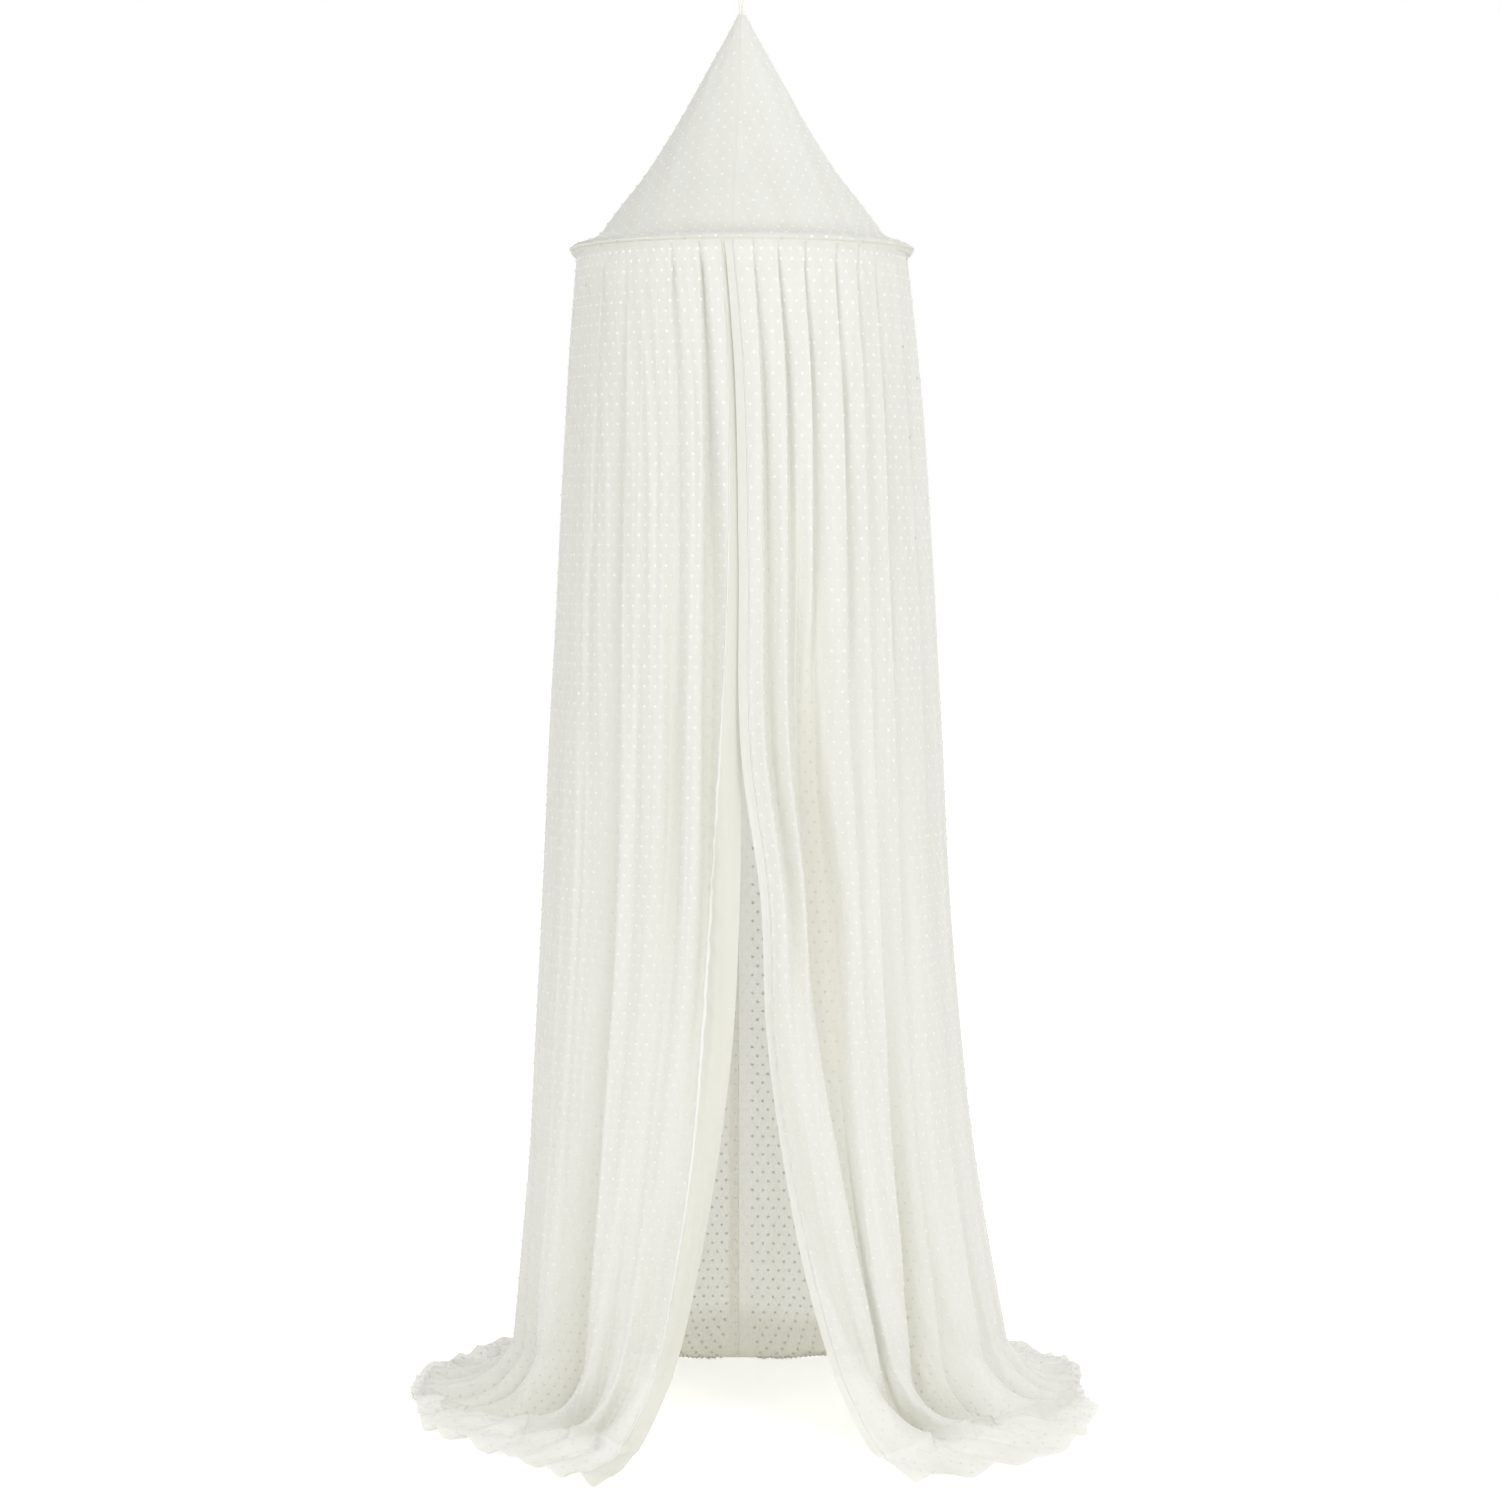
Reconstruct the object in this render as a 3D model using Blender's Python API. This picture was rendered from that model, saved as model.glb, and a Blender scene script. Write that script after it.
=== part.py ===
"""Mosquito net canopy with hoop: a cone-shaped crown on a round hoop, and two gathered
curtain widths that hang from it to the floor and lie spread there, open at the front.

Metres, +Z up, front towards -Y. The origin is the hanging point, inside the top of the loop.
"""
import math
from collections import namedtuple

import bmesh
import bpy
import numpy as np

# Driving dimensions
CORD_DIAMETER = 0.0042
EYE_HALF_WIDTH = 0.0088
LOOP_HEIGHT = 0.060
LOOP_TAIL = 0.014
LOOP_NECK = 0.006
LOOP_LEG_STEPS = 9
EYE_STEPS = 10
HOOP_RADIUS = 0.2505
HOOP_TUBE_RADIUS = 0.0065
CASING_RADIUS = 0.0084
CROWN_HEIGHT = 0.354
CROWN_THICKNESS = 0.0012
HOOP_TO_FLOOR = 1.776
CLOTH_THICKNESS = 0.0015
GAP = 0.0003
SEAM_HALF_GAP = 0.00035

# Places worked out from them
TIP_Z = -LOOP_HEIGHT
HOOP_Z = TIP_Z - CROWN_HEIGHT
FLOOR_Z = HOOP_Z - HOOP_TO_FLOOR
CURTAIN_TOP_Z = HOOP_Z - CASING_RADIUS - GAP
CURTAIN_DROP = CURTAIN_TOP_Z - FLOOR_Z

# The crown's outside, from its tip down to where it meets the hoop's casing
CrownRing = namedtuple("CrownRing", "height radius")
CROWN_RINGS = (
    CrownRing(0.3540, 0.0060),
    CrownRing(0.3316, 0.0175),
    CrownRing(0.2870, 0.0425),
    CrownRing(0.2420, 0.0675),
    CrownRing(0.1975, 0.0925),
    CrownRing(0.1525, 0.1200),
    CrownRing(0.1075, 0.1505),
    CrownRing(0.0700, 0.1800),
    CrownRing(0.0400, 0.2065),
    CrownRing(0.0176, 0.2325),
)
CASING_FROM_DEG = 110
CASING_TO_DEG = -190
CASING_STEPS = 9
CROWN_SIDES = 40
HOOP_TUBE_SIDES = 8

# The curtain's outline in plan at shares of its drop: half-widths to the left and right,
# depths to the front and back, and the place of each front edge across the opening
Level = namedtuple("Level", "drop left right front back left_edge right_edge")
LEVELS = (
    Level(0.00, 0.2505, 0.2505, 0.2505, 0.2505, -0.0260, -0.0235),
    Level(0.10, 0.2640, 0.2700, 0.2505, 0.2550, -0.0160, -0.0135),
    Level(0.25, 0.2795, 0.2900, 0.2500, 0.2620, -0.0085, -0.0055),
    Level(0.42, 0.2970, 0.3080, 0.2470, 0.2700, -0.0055, -0.0010),
    Level(0.54, 0.3070, 0.3190, 0.2440, 0.2750, -0.0105, 0.0285),
    Level(0.65, 0.3180, 0.3350, 0.2400, 0.2790, -0.0155, 0.0370),
    Level(0.76, 0.3300, 0.3560, 0.2360, 0.2810, -0.0385, 0.0620),
    Level(0.86, 0.3450, 0.3850, 0.2310, 0.2760, -0.0700, 0.0955),
    Level(0.93, 0.3560, 0.4090, 0.2250, 0.2690, -0.1000, 0.1290),
    Level(1.00, 0.3680, 0.4350, 0.2150, 0.2620, -0.1400, 0.1680),
)

# Half the width of a fold's mouth at shares of the drop: tight under the hoop, open below
MOUTH_DROPS = (0.00, 0.15, 0.30, 0.50, 0.75, 1.00)
MOUTH_HALVES = (0.0038, 0.0060, 0.0080, 0.0110, 0.0150, 0.0200)

# A row for each inward fold, from the front edge round to the back seam. home is its place
# under the hoop in degrees from the front, the next five are its depth in millimetres from
# the hoop to the floor, breadth scales its mouth, and drift turns it by the floor, in degrees
Fold = namedtuple("Fold", "home at_hoop upper waist lower at_floor breadth drift")
FOLD_DROPS = (0.00, 0.22, 0.48, 0.76, 1.00)
LEFT_FOLDS = (
    Fold(6.0, 16, 12, 16, 20, 12, 1.8, 0),
    Fold(12.9, 22, 28, 24, 15, 12, 0.9, 0),
    Fold(22.5, 22, 28, 20, 5, 6, 1.0, 0),
    Fold(31.3, 14, 14, 14, 14, 18, 1.0, 0),
    Fold(41.5, 18, 24, 24, 22, 26, 1.2, 0),
    Fold(54.9, 14, 16, 15, 12, 14, 1.2, 0),
    Fold(67.0, 20, 22, 12, 7, 8, 1.1, 0),
    Fold(79.0, 18, 20, 18, 14, 16, 1.3, 0),
    Fold(91.0, 20, 22, 12, 6, 7, 1.0, 0),
    Fold(103.0, 22, 24, 22, 18, 20, 1.3, 0),
    Fold(115.0, 22, 24, 14, 6, 8, 1.0, 0),
    Fold(127.0, 22, 26, 25, 22, 22, 1.3, 0),
    Fold(139.0, 22, 24, 14, 7, 8, 1.0, 0),
    Fold(151.0, 22, 26, 26, 22, 22, 1.3, 0),
    Fold(165.0, 20, 22, 18, 12, 10, 1.1, 0),
)
RIGHT_FOLDS = (
    Fold(-5.4, 12, 9, 4, 3, 6, 1.5, 0),
    Fold(4.9, 20, 28, 20, 4, 4, 1.0, 0),
    Fold(13.6, 22, 28, 25, 19, 18, 1.0, -2),
    Fold(22.9, 24, 28, 26, 24, 24, 1.2, -4),
    Fold(33.3, 24, 30, 17, 3, 4, 1.0, 0),
    Fold(40.5, 18, 5, 6, 16, 22, 1.0, -1),
    Fold(51.0, 20, 26, 13, 8, 15, 1.0, 1),
    Fold(65.5, 18, 22, 12, 8, 10, 1.1, 0),
    Fold(78.0, 18, 22, 18, 14, 16, 1.3, 0),
    Fold(90.0, 20, 22, 12, 6, 6, 1.0, 0),
    Fold(102.0, 22, 26, 23, 18, 20, 1.3, 0),
    Fold(114.0, 22, 24, 14, 7, 8, 1.0, 0),
    Fold(126.0, 22, 26, 25, 22, 22, 1.3, 0),
    Fold(138.0, 22, 24, 14, 6, 7, 1.0, 0),
    Fold(150.0, 22, 26, 26, 22, 20, 1.3, 0),
    Fold(164.0, 20, 22, 18, 12, 12, 1.1, 0),
)
DEEPEST_FOLD = 0.036
MOUTH_REACH = 1.3
MOUTH_ROOM = 0.38
PULL_REACH_DEG = 34.0

# Where the cloth lies on the floor: for its angle at the foot, the place that its length
# runs through, the place of its hem, and how high its folds stand there in millimetres
Spread = namedtuple("Spread", "foot_deg turn_x turn_y hem_x hem_y rise")
LEFT_SPREAD = (
    Spread(22, 0.146, -0.340, 0.205, -0.448, 26),
    Spread(27, 0.180, -0.330, 0.262, -0.405, 26),
    Spread(31, 0.215, -0.310, 0.315, -0.355, 26),
    Spread(36, 0.265, -0.270, 0.365, -0.298, 26),
    Spread(42, 0.320, -0.215, 0.430, -0.232, 26),
    Spread(50, 0.370, -0.155, 0.475, -0.185, 26),
    Spread(62, 0.410, -0.100, 0.492, -0.105, 26),
    Spread(76, 0.440, -0.045, 0.508, -0.035, 26),
    Spread(95, 0.450, 0.030, 0.521, 0.040, 26),
    Spread(112, 0.430, 0.120, 0.510, 0.128, 20),
    Spread(127, 0.370, 0.205, 0.442, 0.228, 14),
    Spread(142, 0.300, 0.300, 0.370, 0.335, 10),
    Spread(160, 0.150, 0.310, 0.190, 0.375, 8),
    Spread(180, 0.000, 0.305, 0.000, 0.385, 7),
)
RIGHT_SPREAD = (
    Spread(22, 0.178, -0.335, 0.238, -0.448, 26),
    Spread(27, 0.215, -0.335, 0.310, -0.415, 26),
    Spread(31, 0.270, -0.310, 0.385, -0.370, 26),
    Spread(35, 0.330, -0.265, 0.455, -0.310, 26),
    Spread(40, 0.390, -0.200, 0.505, -0.235, 26),
    Spread(48, 0.430, -0.150, 0.522, -0.165, 26),
    Spread(60, 0.460, -0.100, 0.545, -0.095, 26),
    Spread(75, 0.490, -0.045, 0.540, -0.030, 26),
    Spread(95, 0.490, 0.035, 0.533, 0.050, 26),
    Spread(115, 0.470, 0.140, 0.540, 0.150, 20),
    Spread(130, 0.420, 0.220, 0.500, 0.235, 14),
    Spread(145, 0.330, 0.300, 0.400, 0.330, 10),
    Spread(160, 0.180, 0.310, 0.215, 0.380, 8),
    Spread(180, 0.000, 0.305, 0.000, 0.385, 7),
)
CORNER_DROP = 0.915
CORNER_SPREAD = 0.42
CORNER_FOLD_SHARE = 0.6
SINK_POWER = 0.7
HEM_LIFT = 0.006
HEM_RUFFLE = 0.009
RUFFLE_PITCH_DEG = 7.5

# Rows of the curtain's mesh: down the drop, round the corner, and out over the floor
DROP_ROWS = (0.000, 0.012, 0.050, 0.120, 0.210, 0.310, 0.420, 0.530, 0.640, 0.740, 0.830)
CORNER_ROWS = (0.00, 0.30, 0.55, 0.80)
SPREAD_ROWS = (0.42, 0.56, 0.70, 0.85, 1.00)

Panel = namedtuple("Panel", "name side width edge folds spread")
PANELS = (
    Panel("curtain_left", -1, "left", "left_edge", LEFT_FOLDS, LEFT_SPREAD),
    Panel("curtain_right", 1, "right", "right_edge", RIGHT_FOLDS, RIGHT_SPREAD),
)


def track(stations, values, where):
    """Reads values at where on a smooth curve through a table's stations."""
    stations = np.asarray(stations, float)
    values = np.asarray(values, float)
    slopes = np.gradient(values, stations)
    where = np.clip(where, stations[0], stations[-1])
    left = np.clip(np.searchsorted(stations, where) - 1, 0, len(stations) - 2)
    span = stations[left + 1] - stations[left]
    t = (where - stations[left]) / span
    rise = values[left + 1] - values[left]
    start = slopes[left] * span
    end = slopes[left + 1] * span
    return values[left] + t * (start + t * (3 * rise - 2 * start - end
                                            + t * (start + end - 2 * rise)))


def level(column, drop):
    """A column of the levels table at a share of the drop."""
    return track([row.drop for row in LEVELS], [getattr(row, column) for row in LEVELS], drop)


def turned(panel, home, drop):
    """The angle that the cloth from under the hoop at home has at drop, as its edge is pulled."""
    edge_home = panel.folds[0].home
    sine = panel.side * level(panel.edge, drop) / level(panel.width, drop)
    pull = np.degrees(np.arcsin(sine)) - edge_home
    return home + pull * np.exp(-((home - edge_home) / PULL_REACH_DEG) ** 2)


def fold_places(panel, drop):
    """The angle, half mouth in degrees and depth of every fold at a share of the drop."""
    homes = np.array([fold.home for fold in panel.folds])
    drifts = np.array([fold.drift for fold in panel.folds])
    breadths = np.array([fold.breadth for fold in panel.folds])
    depths = np.array([track(FOLD_DROPS, fold[1:6], drop) for fold in panel.folds]) / 1000
    centres = turned(panel, homes, drop) + drifts * drop
    halves = track(MOUTH_DROPS, MOUTH_HALVES, drop) * breadths
    return centres, np.degrees(halves / level(panel.width, drop)), np.maximum(depths, 0)


def fold_depth(panel, angles, drop):
    """How far the cloth at these angles lies inside its outline."""
    clear = np.ones_like(angles)
    for centre, half, depth in zip(*fold_places(panel, drop)):
        clear = clear * (1 - depth / DEEPEST_FOLD * np.exp(-((angles - centre) / half) ** 2))
    return DEEPEST_FOLD * (1 - clear)


def outline(panel, angles, drop):
    """Points of the curtain's outline at a share of the drop, on the panel's own side."""
    turn = np.radians(angles)
    depth = np.where(np.cos(turn) > 0, level("front", drop), level("back", drop))
    height = np.full_like(turn, CURTAIN_TOP_Z - drop * CURTAIN_DROP)
    return np.stack([level(panel.width, drop) * np.sin(turn), -depth * np.cos(turn), height], 1)


def spread_points(panel, angles, share):
    """Points on the floor at a share of the way from the foot to the hem."""
    foot = outline(panel, angles, 1.0)
    stations = [row.foot_deg for row in panel.spread]
    turn_point, hem = foot.copy(), foot.copy()
    for axis, names in enumerate((("turn_x", "hem_x"), ("turn_y", "hem_y"))):
        turn_point[:, axis] = track(stations, [getattr(r, names[0]) for r in panel.spread], angles)
        hem[:, axis] = track(stations, [getattr(r, names[1]) for r in panel.spread], angles)
    points = (1 - share) ** 2 * foot + 2 * share * (1 - share) * turn_point + share ** 2 * hem
    points[:, 2] = FLOOR_Z
    return points


def column_angles(panel, drop):
    """Angles of the mesh's columns: the mouth, bottom and mouth of each fold and the face between."""
    centres, halves, _ = fold_places(panel, drop)
    ends = np.append(centres, 180.0)
    columns = [centres[0]]
    for place, centre in enumerate(centres):
        before = centres[place - 1] if place else centre
        mouth = MOUTH_REACH * halves[place]
        if place:
            columns += [centre - min(mouth, MOUTH_ROOM * (centre - before)), centre]
        right = centre + min(mouth, MOUTH_ROOM * (ends[place + 1] - centre))
        columns.append(right)
        after = ends[place + 1]
        next_left = after
        if place + 1 < len(centres):
            next_left = after - min(MOUTH_REACH * halves[place + 1], MOUTH_ROOM * (after - centre))
        columns.append((right + next_left) / 2)
    columns.append(180.0)
    return np.array(columns)


def drape_row(panel, drop=1.0, corner=None, share=None):
    """One row of the curtain's outer surface, from the front edge to the back seam."""
    angles = column_angles(panel, drop if corner is None else 1.0)
    depth = fold_depth(panel, angles, drop if corner is None else 1.0)
    turn = np.radians(angles)
    inward = np.stack([-np.sin(turn), np.cos(turn), np.zeros_like(turn)], 1)
    if share is None and corner is None:
        points = outline(panel, angles, drop)
        return points + inward * depth[:, None]
    lying = share if share is not None else CORNER_SPREAD
    ease = 0 if share is None else (share - CORNER_SPREAD) / (1 - CORNER_SPREAD)
    stations = [row.foot_deg for row in panel.spread]
    rise = track(stations, [row.rise for row in panel.spread], angles) / 1000
    lift = rise + (HEM_LIFT - rise) * ease ** SINK_POWER
    flat = spread_points(panel, angles, lying)
    relief = lift * (1 - depth / DEEPEST_FOLD)
    ruffle = HEM_RUFFLE * ease ** 2 * (0.5 + 0.5 * np.sin(2 * math.pi * angles / RUFFLE_PITCH_DEG))
    flat[:, 2] = FLOOR_Z + 2 * CLOTH_THICKNESS + relief + ruffle
    if share is not None:
        return flat
    wall_angles = column_angles(panel, CORNER_DROP)
    wall = outline(panel, wall_angles, CORNER_DROP)
    wall_depth = fold_depth(panel, wall_angles, CORNER_DROP)
    wall = wall + inward * wall_depth[:, None]
    foot = outline(panel, angles, 1.0) + inward * (depth * CORNER_FOLD_SHARE)[:, None]
    foot[:, 2] = flat[:, 2]
    return (1 - corner) ** 2 * wall + 2 * corner * (1 - corner) * foot + corner ** 2 * flat


def curtain_rows(panel):
    """All rows of a curtain width, from under the hoop to the hem."""
    rows = [drape_row(panel, drop=drop) for drop in DROP_ROWS]
    rows += [drape_row(panel, corner=corner) for corner in CORNER_ROWS]
    rows += [drape_row(panel, share=share) for share in SPREAD_ROWS]
    return rows


def material(name, colour, roughness):
    """A plain cloth, cord or plastic material."""
    made = bpy.data.materials.new(name)
    made.use_nodes = True
    shader = made.node_tree.nodes["Principled BSDF"]
    shader.inputs["Base Color"].default_value = (*colour, 1)
    shader.inputs["Roughness"].default_value = roughness
    return made


def add_object(name, mesh_data, finish):
    """Puts a mesh into the scene as a named object of one material."""
    obj = bpy.data.objects.new(name, mesh_data)
    obj.data.materials.append(finish)
    bpy.context.collection.objects.link(obj)
    return obj


def thicken(obj, thickness):
    """Gives a surface its thickness on the inner side, the same across every fold."""
    solid = obj.modifiers.new("thickness", "SOLIDIFY")
    solid.thickness = thickness
    solid.offset = -1
    solid.use_even_offset = True


def make_curtain(panel, finish):
    """One curtain width: a grid that is laid along the rows of its drape."""
    rows = curtain_rows(panel)
    columns = len(rows[0])
    bm = bmesh.new()
    bmesh.ops.create_grid(bm, x_segments=columns - 1, y_segments=len(rows) - 1, size=1)
    bm.verts.ensure_lookup_table()
    places = np.concatenate(rows)
    places[:, 0] = np.where(places[:, 1] > 0, np.maximum(places[:, 0], SEAM_HALF_GAP), places[:, 0])
    places[:, 0] *= panel.side
    for vert, place in zip(bm.verts, places):
        vert.co = place
    if panel.side > 0:
        bmesh.ops.reverse_faces(bm, faces=bm.faces[:])
    mesh_data = bpy.data.meshes.new(panel.name)
    bm.to_mesh(mesh_data)
    bm.free()
    mesh_data.shade_smooth()
    thicken(add_object(panel.name, mesh_data, finish), CLOTH_THICKNESS)


def make_crown(finish):
    """The crown: its profile, with the hem that wraps the hoop, spun into one cloth."""
    profile = [(ring.radius, ring.height) for ring in CROWN_RINGS]
    for step in range(CASING_STEPS + 1):
        turn = math.radians(CASING_FROM_DEG + (CASING_TO_DEG - CASING_FROM_DEG) * step / CASING_STEPS)
        profile.append((HOOP_RADIUS + CASING_RADIUS * math.cos(turn), CASING_RADIUS * math.sin(turn)))
    bm = bmesh.new()
    verts = [bm.verts.new((radius, 0, HOOP_Z + height)) for radius, height in profile]
    edges = [bm.edges.new(pair) for pair in zip(verts, verts[1:])]
    bmesh.ops.spin(bm, geom=verts + edges, cent=(0, 0, 0), axis=(0, 0, 1), angle=2 * math.pi,
                   steps=CROWN_SIDES, use_merge=True)
    bmesh.ops.recalc_face_normals(bm, faces=bm.faces[:])
    mesh_data = bpy.data.meshes.new("crown")
    bm.to_mesh(mesh_data)
    bm.free()
    mesh_data.shade_smooth()
    thicken(add_object("crown", mesh_data, finish), CROWN_THICKNESS)


def make_hoop(finish):
    """The round hoop inside the crown's wrapped hem."""
    bpy.ops.mesh.primitive_torus_add(
        major_segments=CROWN_SIDES, minor_segments=HOOP_TUBE_SIDES, major_radius=HOOP_RADIUS,
        minor_radius=HOOP_TUBE_RADIUS, location=(0, 0, HOOP_Z))
    hoop = bpy.context.object
    hoop.name = "hoop"
    hoop.data.materials.append(finish)
    hoop.data.shade_smooth()


def make_hang_loop(finish):
    """The loop of cord: two legs that rise side by side out of the crown's tip, and its eye."""
    radius = CORD_DIAMETER / 2
    eye_z = radius - EYE_HALF_WIDTH
    leg_x = radius + GAP / 2
    tail_z = TIP_Z - LOOP_TAIL
    neck_z = TIP_Z + LOOP_NECK
    right = [(leg_x, tail_z), (leg_x, (tail_z + neck_z) / 2), (leg_x, neck_z)]
    for step in range(1, LOOP_LEG_STEPS):
        share = step / LOOP_LEG_STEPS
        swell = 0.5 - 0.5 * math.cos(math.pi * share)
        right.append((leg_x + (EYE_HALF_WIDTH - leg_x) * swell, neck_z + (eye_z - neck_z) * share))
    turns = [math.pi * step / EYE_STEPS for step in range(EYE_STEPS + 1)]
    arc = [(EYE_HALF_WIDTH * math.cos(t), eye_z + EYE_HALF_WIDTH * math.sin(t)) for t in turns]
    route = right + arc + [(-x, z) for x, z in reversed(right)]
    curve = bpy.data.curves.new("hang_loop", "CURVE")
    curve.dimensions = "3D"
    curve.bevel_depth = radius
    curve.bevel_resolution = 2
    curve.use_fill_caps = True
    spline = curve.splines.new("POLY")
    spline.points.add(len(route) - 1)
    for point, (x, z) in zip(spline.points, route):
        point.co = (x, 0, z, 1)
    add_object("hang_loop", curve, finish)


for old in list(bpy.data.objects):
    bpy.data.objects.remove(old, do_unlink=True)

chiffon = material("dotted_chiffon", (0.86, 0.86, 0.80), 0.9)
cord = material("cotton_cord", (0.86, 0.85, 0.79), 0.85)
plastic = material("hoop_plastic", (0.80, 0.80, 0.78), 0.5)

make_hang_loop(cord)
make_crown(chiffon)
make_hoop(plastic)
for curtain in PANELS:
    make_curtain(curtain, chiffon)
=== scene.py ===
"""Mosquito net canopy with hoop: a crown of dotted chiffon on a round hoop, and two gathered
curtain widths that hang to the floor and lie spread there, open at the front.

Metres, +Z up, front towards -Y. The origin is the hanging point, inside the top of the loop.
"""

import math
from collections import namedtuple

import bmesh
import bpy
import numpy as np
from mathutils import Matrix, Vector


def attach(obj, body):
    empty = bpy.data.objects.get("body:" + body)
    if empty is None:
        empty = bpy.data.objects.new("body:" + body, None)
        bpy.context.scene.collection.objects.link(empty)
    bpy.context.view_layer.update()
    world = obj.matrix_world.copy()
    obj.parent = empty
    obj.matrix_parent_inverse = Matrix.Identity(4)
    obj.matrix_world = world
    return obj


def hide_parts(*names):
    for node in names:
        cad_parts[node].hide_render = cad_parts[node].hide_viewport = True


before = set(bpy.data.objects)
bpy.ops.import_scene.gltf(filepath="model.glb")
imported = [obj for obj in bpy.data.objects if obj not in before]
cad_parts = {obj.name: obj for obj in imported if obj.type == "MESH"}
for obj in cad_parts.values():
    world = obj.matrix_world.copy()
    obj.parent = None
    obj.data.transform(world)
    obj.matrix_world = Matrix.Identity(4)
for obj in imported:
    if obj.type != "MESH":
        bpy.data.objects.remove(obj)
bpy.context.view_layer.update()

# ---- Studio ----
# A white room: a pale floor without an edge in view, even light all round, and two soft boxes
# in front. The strong one on the right draws the folds, the weaker one lights the left side
# from low down. The camera stands in front.
FLOOR_Z = -2.190
FLOOR_HALF = 30
FLOOR_GLOW = 0.31
CAMERA_PLACE = (0.01225, -4.77, FLOOR_Z + 1.379)
CAMERA_TILT_DEG = 4.334
LENS_MM = 74.74
ROOM_FRONT = 0.86
ROOM_FRONT_SPAN = (-0.6, 0.5)
ROOM_LEFT = 0.52
ROOM_LEFT_SPAN = (0.5, 0.9)
ABOVE_LEFT = (-0.75, 0, 0.66)
SoftBox = namedtuple("SoftBox", "name place aim size watts")
SOFT_BOXES = (
    SoftBox("front_softbox", (1.7, -2.7, 0.7), (0, 0, -0.5), 1.2, 39),
    SoftBox("left_softbox", (-1.9, -2.6, -0.5), (0, 0, -1.2), 1.4, 23),
)


def linear(hex_colour):
    """An sRGB hex colour as a linear RGBA tuple."""
    parts = [int(hex_colour[i:i + 2], 16) / 255 for i in (1, 3, 5)]
    return (*(c / 12.92 if c <= 0.04045 else ((c + 0.055) / 1.055) ** 2.4 for c in parts), 1)


def add_node(tree, kind, inputs=None, **settings):
    """Adds a node with its settings; inputs holds values, or sockets to link from."""
    node = tree.nodes.new("ShaderNode" + kind)
    for name, value in settings.items():
        setattr(node, name, value)
    for name, value in (inputs or {}).items():
        if isinstance(value, bpy.types.NodeSocket):
            tree.links.new(value, node.inputs[name])
        else:
            node.inputs[name].default_value = value
    return node


def new_material(name):
    """An empty node material and its tree."""
    made = bpy.data.materials.new(name)
    made.use_nodes = True
    made.node_tree.nodes.clear()
    return made, made.node_tree


def link_object(name, data):
    """Puts data into the scene as an object at the origin."""
    made = bpy.data.objects.new(name, data)
    bpy.context.collection.objects.link(made)
    return made


camera = link_object("photo_camera", bpy.data.cameras.new("photo_camera"))
camera.data.sensor_width = 36
camera.data.lens = LENS_MM
camera.location = CAMERA_PLACE
camera.rotation_euler = (math.radians(90 - CAMERA_TILT_DEG), 0, 0)
bpy.context.scene.camera = camera
bpy.context.scene.view_settings.view_transform = "Standard"

# The room's far wall is white. It is dimmer towards the camera, so folds keep their shade, and
# above on the left, which shades that side of the crown.
room = bpy.data.worlds.new("white_room")
room.use_nodes = True
tree = room.node_tree
tree.nodes.clear()
towards = add_node(tree, "TexCoord")
parts = add_node(tree, "SeparateXYZ", {"Vector": towards.outputs["Generated"]})
light = add_node(tree, "MapRange", {
    "Value": parts.outputs["Y"], "From Min": ROOM_FRONT_SPAN[0], "From Max": ROOM_FRONT_SPAN[1],
    "To Min": ROOM_FRONT, "To Max": 1.0})
above_left = add_node(tree, "VectorMath", {
    0: towards.outputs["Generated"], 1: ABOVE_LEFT}, operation="DOT_PRODUCT")
dimmed = add_node(tree, "MapRange", {
    "Value": above_left.outputs["Value"], "From Min": ROOM_LEFT_SPAN[0],
    "From Max": ROOM_LEFT_SPAN[1], "To Min": 1.0, "To Max": ROOM_LEFT})
light = add_node(tree, "Math", {0: light.outputs[0], 1: dimmed.outputs[0]}, operation="MULTIPLY")
shader = add_node(tree, "Background", {"Color": (1, 1, 1, 1), "Strength": light.outputs[0]})
add_node(tree, "OutputWorld", {"Surface": shader.outputs[0]})
bpy.context.scene.world = room

for box in SOFT_BOXES:
    lamp = link_object(box.name, bpy.data.lights.new(box.name, "AREA"))
    lamp.data.size = box.size
    lamp.data.energy = box.watts
    lamp.location = box.place
    lamp.rotation_euler = (Vector(box.aim) - Vector(box.place)).to_track_quat("-Z", "Y").to_euler()

# Matt white paint: a pale floor that keeps a soft contact shadow under the cloth
white_paint, tree = new_material("matt_white_floor_paint")
grain = add_node(tree, "TexNoise", {"Scale": 60.0, "Detail": 3.0})
relief = add_node(tree, "Bump", {"Height": grain.outputs["Fac"], "Strength": 0.02})
shader = add_node(tree, "BsdfPrincipled", {
    "Base Color": linear("#F7F7F5"), "Roughness": 0.8, "Normal": relief.outputs["Normal"],
    "Emission Color": (1, 1, 1, 1), "Emission Strength": FLOOR_GLOW})
add_node(tree, "OutputMaterial", {"Surface": shader.outputs[0]})
bm = bmesh.new()
bmesh.ops.create_grid(bm, x_segments=2, y_segments=2, size=FLOOR_HALF)
bmesh.ops.translate(bm, verts=bm.verts[:], vec=(0, 0, FLOOR_Z))
floor_mesh = bpy.data.meshes.new("floor")
bm.to_mesh(floor_mesh)
bm.free()
floor_mesh.materials.append(white_paint)
link_object("floor", floor_mesh)


# ---- Hanging loop ----
# A short length of three-strand cotton cord, folded to a loop for a ceiling hook. Both ends
# are sewn into the crown's tip, side by side.
CORD_DIAMETER = 0.0042
EYE_HALF_WIDTH = 0.0088
TIP_Z = -0.060
LOOP_TAIL = 0.014
LOOP_NECK = 0.006
LEG_HALF_GAP = 0.00015
LEG_STEPS = 9
EYE_STEPS = 10
CORD_ROWS = 150
CORD_SIDES = 18
CORD_STRANDS = 3
STRAND_LAY = 0.0105
STRAND_GROOVE = 0.10
FIBRES_PER_M = (2600, 700, 1)


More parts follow.
